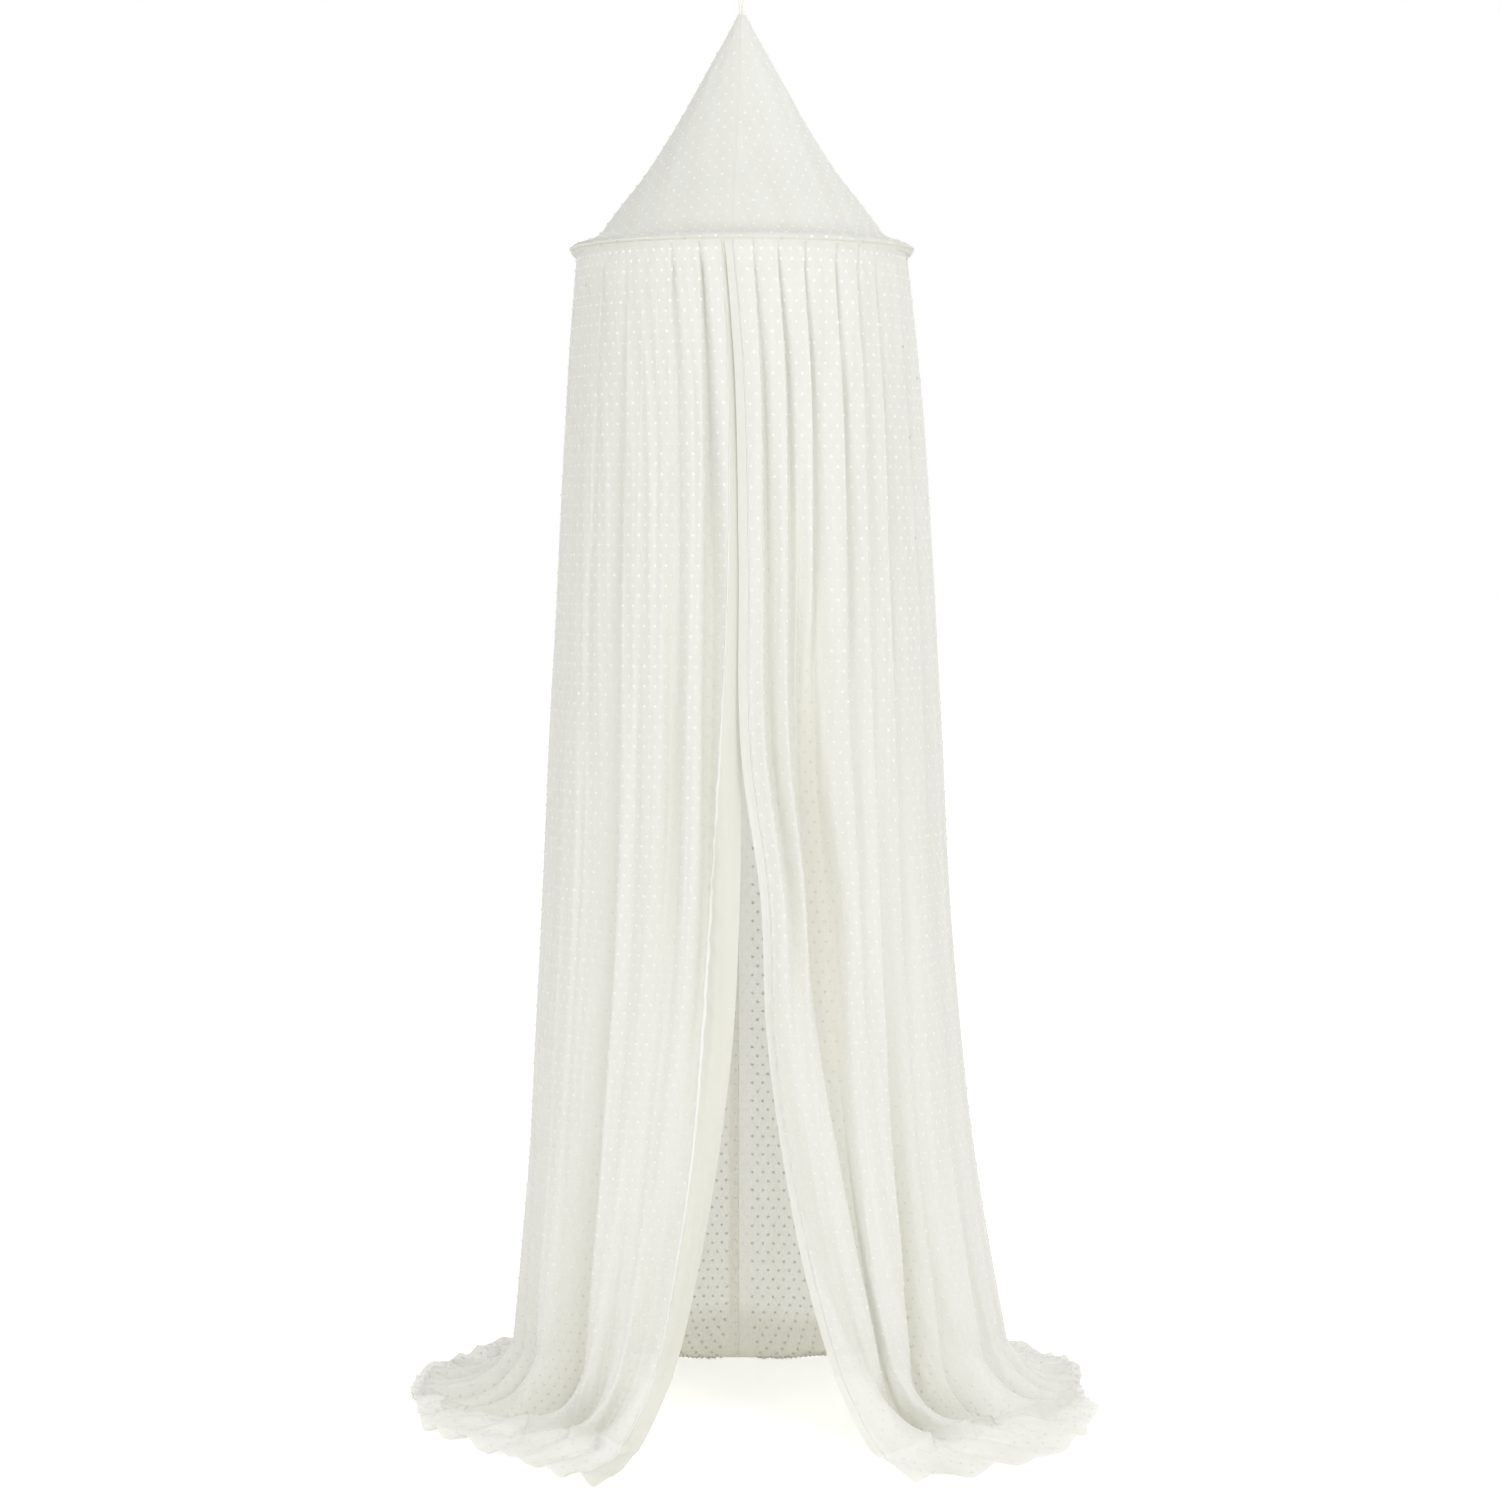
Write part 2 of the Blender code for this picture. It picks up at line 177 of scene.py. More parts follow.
def cord_route():
    """The loop's centreline, from the end of the right leg over the eye to the left."""
    radius = CORD_DIAMETER / 2
    eye_z = radius - EYE_HALF_WIDTH
    leg_x = radius + LEG_HALF_GAP
    tail_z = TIP_Z - LOOP_TAIL
    neck_z = TIP_Z + LOOP_NECK
    right = [(leg_x, tail_z), (leg_x, (tail_z + neck_z) / 2), (leg_x, neck_z)]
    for step in range(1, LEG_STEPS):
        swell = 0.5 - 0.5 * math.cos(math.pi * step / LEG_STEPS)
        right.append((leg_x + (EYE_HALF_WIDTH - leg_x) * swell,
                      neck_z + (eye_z - neck_z) * step / LEG_STEPS))
    arc = [(EYE_HALF_WIDTH * math.cos(math.pi * step / EYE_STEPS),
            eye_z + EYE_HALF_WIDTH * math.sin(math.pi * step / EYE_STEPS))
           for step in range(EYE_STEPS + 1)]
    route = right + arc + [(-x, z) for x, z in reversed(right)]
    return np.array([(x, 0, z) for x, z in route])


def lengths_along(points):
    """The length run at each point of a line, or of each row in a grid."""
    steps = np.linalg.norm(np.diff(points, axis=-2), axis=-1)
    return np.concatenate([np.zeros_like(steps[..., :1]), np.cumsum(steps, -1)], -1)


def sampled(line, count):
    """A line as count points at even spacing."""
    run = lengths_along(line)
    where = np.linspace(0, run[-1], count)
    return np.stack([np.interp(where, run, line[:, axis]) for axis in range(3)], 1)


def grid_mesh(name, points, flat, attributes=None, flip=False):
    """A grid laid on rows of points, with flat as its UV map in metres of the cut cloth."""
    rows, columns = points.shape[:2]
    bm = bmesh.new()
    bmesh.ops.create_grid(bm, x_segments=columns - 1, y_segments=rows - 1, size=1)
    if flip:
        bmesh.ops.reverse_faces(bm, faces=bm.faces[:])
    mesh = bpy.data.meshes.new(name)
    bm.to_mesh(mesh)
    bm.free()
    mesh.vertices.foreach_set("co", points.reshape(-1))
    corner_verts = np.empty(len(mesh.loops), np.int32)
    mesh.loops.foreach_get("vertex_index", corner_verts)
    layer = mesh.uv_layers.new(name="flat_cloth")
    layer.data.foreach_set("uv", flat.reshape(-1, 2)[corner_verts].reshape(-1))
    for attribute, values in (attributes or {}).items():
        made = mesh.attributes.new(attribute, "FLOAT", "POINT")
        made.data.foreach_set("value", values.reshape(-1).astype(np.float32))
    mesh.shade_smooth()
    mesh.update()
    return mesh


# Twisted cotton: matt, a little warmer than the cloth, with a soft groove between strands
twisted_cotton, tree = new_material("twisted_cotton_cord")
place = add_node(tree, "UVMap", uv_map="flat_cloth")
fibre_scale = add_node(tree, "Mapping", {"Vector": place.outputs[0], "Scale": FIBRES_PER_M})
fibres = add_node(tree, "TexNoise", {
    "Vector": fibre_scale.outputs[0], "Scale": 1.0, "Detail": 2.0})
shade = add_node(tree, "ValToRGB", {"Fac": fibres.outputs["Fac"]})
shade.color_ramp.elements[0].color = linear("#D8D5C8")
shade.color_ramp.elements[1].color = linear("#ECEAE0")
relief = add_node(tree, "Bump", {
    "Height": fibres.outputs["Fac"], "Strength": 0.5, "Distance": 0.0003})
shader = add_node(tree, "BsdfPrincipled", {
    "Base Color": shade.outputs[0], "Roughness": 0.9, "Sheen Weight": 0.25,
    "Normal": relief.outputs["Normal"]})
add_node(tree, "OutputMaterial", {"Surface": shader.outputs[0]})

# The strands' grooves wind round the cord once for each lay's length
route = sampled(cord_route(), CORD_ROWS)
run = lengths_along(route)
along = np.gradient(route, axis=0)
along /= np.linalg.norm(along, axis=1)[:, None]
beside = np.tile((0.0, 1.0, 0.0), (len(route), 1))
outward = np.cross(along, beside)
turns = np.linspace(0, math.tau, CORD_SIDES + 1)[None, :]
lay = math.tau * run[:, None] / STRAND_LAY
ridges = np.abs(np.cos(CORD_STRANDS / 2 * (turns - lay)))
bulge = CORD_DIAMETER / 2 * (1 - STRAND_GROOVE + STRAND_GROOVE * ridges)
rope = (route[:, None, :] + bulge[..., None] * (np.cos(turns)[..., None] * outward[:, None, :]
                                                + np.sin(turns)[..., None] * beside[:, None, :]))
flat = np.stack(np.broadcast_arrays(turns * CORD_DIAMETER / 2, run[:, None]), -1)
rope_mesh = grid_mesh("loop_cord", rope, flat)
bm = bmesh.new()
bm.from_mesh(rope_mesh)
bmesh.ops.remove_doubles(bm, verts=bm.verts[:], dist=0.00001)
bmesh.ops.holes_fill(bm, edges=[edge for edge in bm.edges if edge.is_boundary], sides=0)
bmesh.ops.recalc_face_normals(bm, faces=bm.faces[:])
bm.to_mesh(rope_mesh)
bm.free()
rope_mesh.materials.append(twisted_cotton)
hang_loop = link_object("loop_cord", rope_mesh)
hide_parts("hang_loop")
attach(hang_loop, "root")


# ---- Hoop ----
# A plastic tube bent to a ring. The crown's lower hem is wrapped round it and holds it in
# place, so only its round line shows.
HOOP_Z = -0.414
HOOP_RADIUS = 0.2505
CASING_RADIUS = 0.0084

# Polypropylene tube: smooth and slightly waxy
tube_plastic, tree = new_material("polypropylene_tube")
place = add_node(tree, "TexCoord")
haze = add_node(tree, "TexNoise", {"Vector": place.outputs["Object"], "Scale": 35.0})
shade = add_node(tree, "ValToRGB", {"Fac": haze.outputs["Fac"]})
shade.color_ramp.elements[0].color = linear("#E6E6E2")
shade.color_ramp.elements[1].color = linear("#F2F2EF")
shader = add_node(tree, "BsdfPrincipled", {
    "Base Color": shade.outputs[0], "Roughness": 0.42, "IOR": 1.49})
add_node(tree, "OutputMaterial", {"Surface": shader.outputs[0]})
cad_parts["hoop"].data.materials.clear()
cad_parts["hoop"].data.materials.append(tube_plastic)


# ---- Crown ----
# One piece of dotted chiffon, cut as a sector and closed by a single seam at the front. Its
# lower hem is wrapped round the hoop and stretched smooth by it.
CrownRing = namedtuple("CrownRing", "height radius")
CROWN_RINGS = (
    CrownRing(0.3540, 0.0060),
    CrownRing(0.3316, 0.0175),
    CrownRing(0.2870, 0.0425),
    CrownRing(0.2420, 0.0675),
    CrownRing(0.1975, 0.0925),
    CrownRing(0.1525, 0.1200),
    CrownRing(0.1075, 0.1505),
    CrownRing(0.0700, 0.1805),
    CrownRing(0.0400, 0.2035),
    CrownRing(0.0230, 0.2165),
    CrownRing(0.0152, 0.2290),
)
CASING_FROM_DEG = 68
CASING_TO_DEG = -190
CROWN_CUT_DEG = 197
SEAM_TURN_DEG = 3.1
SEAM_HALF_WIDTH = 0.0016
SEAM_RIDGE = 0.0007
SEAM_LAYERS = 0.15
LIP_DEG = 12
LIP_HALF_DEG = 7
LIP_REACH = 0.0026
GROOVE_SHADE_DEG = -13
GROOVE_SHADE_HALF_DEG = 14
CONE_ROWS = 64
CASING_ROWS = 86
CROWN_COLUMNS = 288
HOOP_GIRTH = 1.57
WAVE_BEND = 0.8
WAVE_BEND_PITCHES = 2.3
PUFF_PITCHES = ((0.19, 0.5), (0.09, 0.4), (0.13, 0.3))
PUFF_HEIGHT = 0.0006
PUFF_FADE_LOW = 0.05
PUFF_FADE_HIGH = 0.10
PUFF_SEED = 5
DOT_ACROSS = 0.022
DOT_DOWN = 0.030
DOT_RADIUS = 0.0026
DOT_HEIGHT = 0.0021
DOT_SUNK = 0.00015
DOT_SHOULDER = 0.35
DOT_GROW = (0.88, 1.10)
DOT_SIDES = 6
DOTS_SEAM_CLEAR = 0.014
DOTS_HEM_CLEAR_ROWS = 9
INSIDE_SPOT_SHADOW = 0.12
STITCH_PLACE = 0.5
STITCH_HALF = (0.01, 0.04)
CRINKLES_PER_M = (420, 110, 1)
SHADES_PER_M = (34, 1.6, 1)
STREAKS_PER_M = (130, 1.2, 1)


def listed(table, column):
    """A column of a table of rows."""
    return np.array([getattr(row, column) for row in table])


def curve_through(stations, values, where):
    """Reads values at where on a smooth curve through a table's stations."""
    stations = np.asarray(stations, float)
    values = np.asarray(values, float)
    slopes = np.gradient(values, stations)
    where = np.clip(where, stations[0], stations[-1])
    left = np.clip(np.searchsorted(stations, where) - 1, 0, len(stations) - 2)
    span = stations[left + 1] - stations[left]
    t = (where - stations[left]) / span
    rise = values[left + 1] - values[left]
    start = slopes[left] * span
    end = slopes[left + 1] * span
    return values[left] + t * (start + t * (3 * rise - 2 * start - end
                                            + t * (start + end - 2 * rise)))


def waves(across, down, seed, pitches, amount):
    """Soft unevenness of cloth: a few waves of the given pitches, in metres."""
    chance = np.random.default_rng(seed)
    total = np.zeros(np.broadcast(across, down).shape)
    for pitch_across, pitch_down in pitches:
        turn = chance.uniform(0, math.tau, 2)
        bend = WAVE_BEND * np.sin(math.tau * down / (WAVE_BEND_PITCHES * pitch_down) + turn[1])
        phase = math.tau * (across / pitch_across + down / pitch_down) + turn[0] + bend
        total = total + np.sin(phase)
    return amount * total / math.sqrt(len(pitches))


def normals_of(points):
    """Unit normals of a grid of points, by its rows and columns."""
    normals = np.cross(np.gradient(points, axis=1), np.gradient(points, axis=0))
    return normals / np.maximum(np.linalg.norm(normals, axis=2), 1e-12)[..., None]


def dotted(name, points, normals, layers, places, finish):
    """Small tufts laid on a cloth's grid at places, which are rows and columns as floats."""
    rows, columns = places[:, 0], places[:, 1]
    top = np.clip(rows.astype(int), 0, points.shape[0] - 2)
    left = np.clip(columns.astype(int), 0, points.shape[1] - 2)
    down, right = (rows - top)[:, None], (columns - left)[:, None]

    def mixed(grid):
        return ((1 - down) * ((1 - right) * grid[top, left] + right * grid[top, left + 1])
                + down * ((1 - right) * grid[top + 1, left] + right * grid[top + 1, left + 1]))

    centre, up = mixed(points), mixed(normals)
    up /= np.linalg.norm(up, axis=1)[:, None]
    first = points[top, left + 1] - points[top, left]
    first -= up * (first * up).sum(1)[:, None]
    first /= np.maximum(np.linalg.norm(first, axis=1), 1e-9)[:, None]
    second = np.cross(up, first)
    bm = bmesh.new()
    which = bm.verts.layers.int.new("tuft")
    bmesh.ops.create_circle(bm, cap_ends=True, cap_tris=True, radius=1, segments=DOT_SIDES)
    bmesh.ops.inset_region(bm, faces=bm.faces[:], thickness=DOT_SHOULDER)
    bmesh.ops.recalc_face_normals(bm, faces=bm.faces[:])
    tufts = 1
    while tufts < len(places):
        copied = bmesh.ops.duplicate(bm, geom=bm.verts[:] + bm.edges[:] + bm.faces[:])
        for vert in copied["geom"]:
            if isinstance(vert, bmesh.types.BMVert):
                vert[which] += tufts
        tufts *= 2
    spare = [vert for vert in bm.verts if vert[which] >= len(places)]
    bmesh.ops.delete(bm, geom=spare, context="VERTS")
    shape = np.array([vert.co[:] for vert in bm.verts])
    tuft = np.array([vert[which] for vert in bm.verts])
    mesh = bpy.data.meshes.new(name)
    bm.to_mesh(mesh)
    bm.free()
    chance = np.random.default_rng(len(places))
    spin = chance.uniform(0, math.tau / DOT_SIDES, len(places))[tuft]
    grow = chance.uniform(*DOT_GROW, len(places))[tuft, None]
    side = DOT_RADIUS * grow[:, 0]
    x = (np.cos(spin) * shape[:, 0] - np.sin(spin) * shape[:, 1]) * side
    y = (np.sin(spin) * shape[:, 0] + np.cos(spin) * shape[:, 1]) * side
    reach = np.linalg.norm(shape[:, :2], axis=1)[:, None]
    lift = DOT_HEIGHT * grow * np.sqrt(np.clip(1 - reach ** 2, 0, 1)) - DOT_SUNK
    verts = centre[tuft] + x[:, None] * first[tuft] + y[:, None] * second[tuft] + lift * up[tuft]
    mesh.vertices.foreach_set("co", verts.reshape(-1))
    # Each tuft takes the cloth's layers value, which also carries painted shade
    shaded = mesh.attributes.new("layers", "FLOAT", "POINT")
    shaded.data.foreach_set("value", mixed(layers[..., None])[tuft, 0].astype(np.float32))
    mesh.shade_smooth()
    mesh.materials.append(finish)
    return link_object(name, mesh)


# Polyester chiffon with crepe yarn: thin and slightly see-through, with a dry, soft surface.
# Light passes into it from behind, less where the layers attribute is high. That attribute darkens
# the colour too: partly for hems and seams, where the cloth really lies in two layers, and partly
# as painted shade in deep valleys, on the back wall and in the crown's groove.
# Real threads are 0.3 mm apart, too fine for the render, so the crinkle is drawn 2.5 mm wide.
chiffon, tree = new_material("ivory_crepe_chiffon")
place = add_node(tree, "UVMap", uv_map="flat_cloth")
textures = []
for per_m, settings in ((CRINKLES_PER_M, {"Detail": 3.0, "Roughness": 0.6}),
                        (SHADES_PER_M, {"Detail": 2.0}), (STREAKS_PER_M, {"Detail": 1.0})):
    scaled = add_node(tree, "Mapping", {"Vector": place.outputs[0], "Scale": per_m})
    textures.append(add_node(tree, "TexNoise", {
        "Vector": scaled.outputs[0], "Scale": 1.0, **settings}))
crepe, drift, streak = textures
shade = add_node(tree, "ValToRGB", {"Fac": drift.outputs["Fac"]})
for end, where, tint in zip(shade.color_ramp.elements, (0.3, 0.7), ("#EAEAE5", "#EFEFEC")):
    end.position = where
    end.color = linear(tint)
layers_and_shade = add_node(tree, "Attribute", attribute_name="layers")
# Painted shade and real extra layers: the colour goes towards this darker tone where layers is high
ground = add_node(tree, "Mix", {
    0: layers_and_shade.outputs["Fac"], 6: shade.outputs[0], 7: linear("#D9D8CC")},
    data_type="RGBA")
# On the inside each tuft's anchoring yarn shows as a small spot, on the same lattice as the tufts;
# it is painted dark as the tuft's shadow seen through the cloth
spots = []
for shift in ((0.5, 0.5, 0), (0, 0, 0)):
    cell = add_node(tree, "Mapping", {
        "Vector": place.outputs[0], "Scale": (1 / DOT_ACROSS, 1 / DOT_DOWN, 0), "Location": shift})
    cell = add_node(tree, "VectorMath", {0: cell.outputs[0]}, operation="FRACTION")
    cell = add_node(tree, "VectorMath", {
        0: cell.outputs[0], 1: (0.5, 0.5, 0)}, operation="SUBTRACT")
    cell = add_node(tree, "VectorMath", {
        0: cell.outputs[0], 1: (DOT_ACROSS, DOT_DOWN, 0)}, operation="MULTIPLY")
    spots.append(add_node(tree, "VectorMath", {0: cell.outputs[0]}, operation="LENGTH"))
nearest = add_node(tree, "Math", {
    0: spots[0].outputs["Value"], 1: spots[1].outputs["Value"]}, operation="MINIMUM")
spot = add_node(tree, "MapRange", {
    "Value": nearest.outputs[0], "From Min": DOT_RADIUS * 0.8, "From Max": DOT_RADIUS * 1.2,
    "To Min": INSIDE_SPOT_SHADOW, "To Max": 0.0})
side = add_node(tree, "NewGeometry")
inside = add_node(tree, "Math", {
    0: spot.outputs[0], 1: side.outputs["Backfacing"]}, operation="MULTIPLY")
colour = add_node(tree, "Mix", {
    0: inside.outputs[0], 6: ground.outputs[2], 7: linear("#B4B1A2")}, data_type="RGBA")
relief = add_node(tree, "Bump", {
    "Height": crepe.outputs["Fac"], "Strength": 0.38, "Distance": 0.0012})
# The front hem is sewn down along a line which stands up a little, and a painted highlight
# makes the cloth lighter along that line
hem_place = add_node(tree, "Attribute", attribute_name="hem_place")
off_stitch = add_node(tree, "Math", {
    0: hem_place.outputs["Fac"], 1: STITCH_PLACE}, operation="SUBTRACT")
off_stitch = add_node(tree, "Math", {0: off_stitch.outputs[0]}, operation="ABSOLUTE")
stitch_and_highlight = add_node(tree, "MapRange", {
    "Value": off_stitch.outputs[0], "From Min": STITCH_HALF[0], "From Max": STITCH_HALF[1],
    "To Min": 1.0, "To Max": 0.0})
relief = add_node(tree, "Bump", {
    "Height": stitch_and_highlight.outputs[0], "Strength": 0.8, "Distance": 0.0015,
    "Normal": relief.outputs["Normal"]})
colour = add_node(tree, "Mix", {
    0: stitch_and_highlight.outputs[0], 6: colour.outputs[2], 7: linear("#FAFAF8")}, data_type="RGBA")
# Gathered cloth hangs in soft streaks, narrow and long
pucker = add_node(tree, "Bump", {
    "Height": streak.outputs["Fac"], "Strength": 0.07, "Distance": 0.004,
    "Normal": relief.outputs["Normal"]})
facing = add_node(tree, "BsdfPrincipled", {
    "Base Color": colour.outputs[2], "Roughness": 0.85, "Sheen Weight": 0.2,
    "Sheen Roughness": 0.5, "Specular IOR Level": 0.25, "Normal": pucker.outputs["Normal"]})
behind = add_node(tree, "BsdfTranslucent", {
    "Color": colour.outputs[2], "Normal": pucker.outputs["Normal"]})
through = add_node(tree, "MapRange", {
    "Value": layers_and_shade.outputs["Fac"], "To Min": 0.44, "To Max": 0.26})
cloth = add_node(tree, "MixShader", {
    "Fac": through.outputs[0], 1: facing.outputs[0], 2: behind.outputs[0]})
clear = add_node(tree, "BsdfTransparent")
open_share = add_node(tree, "MapRange", {
    "Value": layers_and_shade.outputs["Fac"], "To Min": 0.07, "To Max": 0.02})
sheer = add_node(tree, "MixShader", {
    "Fac": open_share.outputs[0], 1: cloth.outputs[0], 2: clear.outputs[0]})
add_node(tree, "OutputMaterial", {"Surface": sheer.outputs[0]})

# The tufts are soft white yarn, brighter and denser than the ground
tuft_yarn, tree = new_material("soft_tuft_yarn")
place = add_node(tree, "TexCoord")
fluff = add_node(tree, "TexNoise", {"Vector": place.outputs["Object"], "Scale": 2500.0})
shade = add_node(tree, "ValToRGB", {"Fac": fluff.outputs["Fac"]})
shade.color_ramp.elements[0].color = linear("#E9E9E3")
shade.color_ramp.elements[1].color = linear("#F3F3EE")
relief = add_node(tree, "Bump", {
    "Height": fluff.outputs["Fac"], "Strength": 0.4, "Distance": 0.0003})
# Painted shade: tufts in deep valleys, on the back wall and in the crown's groove go darker with it
layers_and_shade = add_node(tree, "Attribute", attribute_name="layers")
colour = add_node(tree, "Mix", {
    0: layers_and_shade.outputs["Fac"], 6: shade.outputs[0], 7: linear("#D2D0C3")}, data_type="RGBA")
facing = add_node(tree, "BsdfPrincipled", {
    "Base Color": colour.outputs[2], "Roughness": 0.95, "Sheen Weight": 0.3,
    "Normal": relief.outputs["Normal"]})
behind = add_node(tree, "BsdfTranslucent", {"Color": colour.outputs[2]})
yarn = add_node(tree, "MixShader", {"Fac": 0.2, 1: facing.outputs[0], 2: behind.outputs[0]})
add_node(tree, "OutputMaterial", {"Surface": yarn.outputs[0]})

# The crown's section: down the cone, round the hoop, and a lip where both cloths are sewn on
heights = np.linspace(CROWN_RINGS[0].height, CROWN_RINGS[-1].height, CONE_ROWS)
radii = curve_through(-listed(CROWN_RINGS, "height"), listed(CROWN_RINGS, "radius"), -heights)
wrap_deg = np.linspace(CASING_FROM_DEG, CASING_TO_DEG, CASING_ROWS)
wrap = np.radians(wrap_deg)
lip = CASING_RADIUS + LIP_REACH * np.exp(-((wrap_deg - LIP_DEG) / LIP_HALF_DEG) ** 4)
heights = np.append(heights, lip * np.sin(wrap))
radii = np.append(radii, HOOP_RADIUS + lip * np.cos(wrap))
slant = lengths_along(np.stack([radii, heights], 1)) + CROWN_RINGS[0].radius

# Once round from the front seam, which stands up as a low ridge
seam_turn = np.linspace(0, 1, CROWN_COLUMNS + 1)
angle = math.tau * seam_turn + math.radians(SEAM_TURN_DEG)
puffing = waves(seam_turn[None, :] * HOOP_GIRTH, slant[:, None], PUFF_SEED, PUFF_PITCHES,
                PUFF_HEIGHT)
puffing = puffing * np.clip(heights / PUFF_FADE_LOW, 0, 1)[:, None]
puffing = puffing * np.clip((heights[0] - heights) / PUFF_FADE_HIGH, 0, 1)[:, None]
puffing[:, -1] = puffing[:, 0]
from_seam = np.minimum(seam_turn, 1 - seam_turn)[None, :] * math.tau * radii[:, None]
near_seam = np.exp(-(from_seam / SEAM_HALF_WIDTH) ** 2)
reach = radii[:, None] + puffing + SEAM_RIDGE * near_seam
crown_points = np.stack(np.broadcast_arrays(
    -reach * np.sin(angle), -reach * np.cos(angle), HOOP_Z + heights[:, None]), -1)
cut = math.radians(CROWN_CUT_DEG) * seam_turn
crown_flat = np.stack([slant[:, None] * np.sin(cut), slant[:, None] * np.cos(cut)], -1)
# Painted shade in the groove under the lip, where the heading meets it, added to the layers value
# beside the seam's real extra cloth
groove_shade = np.zeros_like(heights)
groove_shade[-CASING_ROWS:] = np.exp(-((wrap_deg - GROOVE_SHADE_DEG) / GROOVE_SHADE_HALF_DEG) ** 4)
crown_layers_and_shade = np.maximum(SEAM_LAYERS * near_seam, groove_shade[:, None])
crown_mesh = grid_mesh("crown_cloth", crown_points, crown_flat, {"layers": crown_layers_and_shade})
crown_mesh.materials.append(chiffon)
crown_cloth = link_object("crown_cloth", crown_mesh)
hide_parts("crown")
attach(crown_cloth, "root")

# Dots of the crown: the lattice of the flat cut, read back onto the cone
lattice = []
dots_end = math.radians(CROWN_CUT_DEG) - DOTS_SEAM_CLEAR
farthest_row = int(slant[-1] / DOT_DOWN * 2)
farthest_column = int(slant[-1] / DOT_ACROSS) + 1
for row in range(-farthest_row, farthest_row + 1):
    for column in range(-farthest_column, farthest_column + 1):
        x = (column + 0.5 * (row % 2)) * DOT_ACROSS
        y = row * DOT_DOWN / 2
        from_tip = math.hypot(x, y)
        turn = math.atan2(x, y) % (math.tau)
        if DOTS_SEAM_CLEAR < turn < dots_end and slant[1] < from_tip < slant[-DOTS_HEM_CLEAR_ROWS]:
            lattice.append((np.interp(from_tip, slant, np.arange(len(slant))),
                            turn / math.radians(CROWN_CUT_DEG) * CROWN_COLUMNS))
crown_dots = dotted("crown_dots", crown_points, normals_of(crown_points), crown_layers_and_shade,
                    np.array(lattice), tuft_yarn)
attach(crown_dots, "root")


# ---- Curtain widths ----
# Two widths of the same chiffon, 1.36 m wide and 1.95 m long, gathered into the casing's seam.
# They are joined at the back, open at the front, and hemmed down the opening and at the foot.
CASING_GAP = 0.0003
CLOTH_GAP = 0.0005
CURTAIN_TOP_Z = HOOP_Z - CASING_RADIUS - CASING_GAP
CURTAIN_DROP = CURTAIN_TOP_Z - FLOOR_Z
CLOTH_WIDTH = 1.36
CLOTH_LENGTH = 1.95

# The outline at shares of the drop, in metres: half widths and depths, each front edge's x, how
# much of its cloth faces forward, and how deep the edge itself turns in
Level = namedtuple("Level", "drop left right front back left_edge right_edge "
                            "left_facing right_facing left_turn right_turn")
LEVELS = (
    Level(0.00, 0.2505, 0.2505, 0.2505, 0.2505, -0.0190, -0.0235, 0.009, 0.030, 0.024, 0.002),
    Level(0.10, 0.2640, 0.2700, 0.2505, 0.2550, -0.0060, -0.0105, 0.014, 0.036, 0.026, 0.008),
    Level(0.25, 0.2795, 0.2900, 0.2500, 0.2620, 0.0010, -0.0045, 0.020, 0.040, 0.024, 0.012),
    Level(0.42, 0.2970, 0.3080, 0.2470, 0.2700, 0.0000, -0.0004, 0.034, 0.040, 0.026, 0.012),
    Level(0.54, 0.3070, 0.3190, 0.2440, 0.2750, -0.0030, 0.0285, 0.046, 0.036, 0.016, 0.006),
    Level(0.65, 0.3180, 0.3350, 0.2400, 0.2790, -0.0125, 0.0370, 0.049, 0.034, 0.010, 0.003),
    Level(0.76, 0.3300, 0.3560, 0.2360, 0.2810, -0.0375, 0.0620, 0.039, 0.034, 0.022, 0.002),
    Level(0.86, 0.3450, 0.3850, 0.2310, 0.2760, -0.0715, 0.0955, 0.031, 0.034, 0.026, 0.000),
    Level(0.93, 0.3560, 0.4090, 0.2250, 0.2690, -0.1000, 0.1290, 0.025, 0.034, 0.022, 0.000),
    Level(1.00, 0.3680, 0.4350, 0.2150, 0.2620, -0.1400, 0.1680, 0.020, 0.034, 0.010, 0.000),
)

# A fold's half mouth in metres and its steepness, at shares of the drop
MOUTH_DROPS = (0.00, 0.15, 0.30, 0.50, 0.75, 1.00)
MOUTH_HALVES = (0.0013, 0.0052, 0.0090, 0.0120, 0.0150, 0.0200)
CRISP_DROPS = (0.00, 0.45, 1.00)
CRISPNESS = (4.0, 3.2, 2.2)

# A row for each fold: its angle under the hoop in degrees from the front, its depth in mm at the
# five fold drops, its breadth, its lean, how square it is, how many degrees it drifts towards the
# floor, and the drop where it narrows
Fold = namedtuple("Fold", "home at_hoop upper waist lower at_floor breadth lean "
                          "square drift narrows", defaults=(0, 0, 0))
FOLD_DROPS = (0.00, 0.22, 0.48, 0.76, 1.00)
LEFT_FOLDS = (
    Fold(15.3, 8, 22, 28, 10, 0, 1.5, 0.1),
    Fold(19.6, 0, 1, 2, 2, 16, 0.8, 0.4),
    Fold(24.9, 6, 14, 18, 6, 3, 1.7, 0.1),
    Fold(30.2, 0, 1, 2, 3, 22, 0.8, 0.4),
    Fold(35, 0, 2, 6, 4, 0, 1.0, 0.4),
    Fold(42.2, 3, 10, 15, 18, 36, 2.2, -0.6),
    Fold(54, 2, 3, 3, 3, 4, 1.1, 0.4),
    Fold(66, 2, 4, 4, 4, 24, 1.2, -0.4),
    Fold(79, 3, 6, 7, 6, 20, 1.2, 0.4),
    Fold(91, 24, 28, 22, 18, 16, 1.0, 0.4),
    Fold(103, 28, 32, 32, 28, 24, 1.3, 0.3),
    Fold(115, 28, 32, 28, 22, 12, 1.0, 0.4),
    Fold(127, 28, 34, 34, 30, 24, 1.3, 0.3),
    Fold(139, 28, 32, 28, 20, 10, 1.0, 0.4),
    Fold(151, 28, 34, 34, 28, 18, 1.3, 0.3),
    Fold(165, 24, 22, 8, 3, 4, 1.1, 0.2),
)
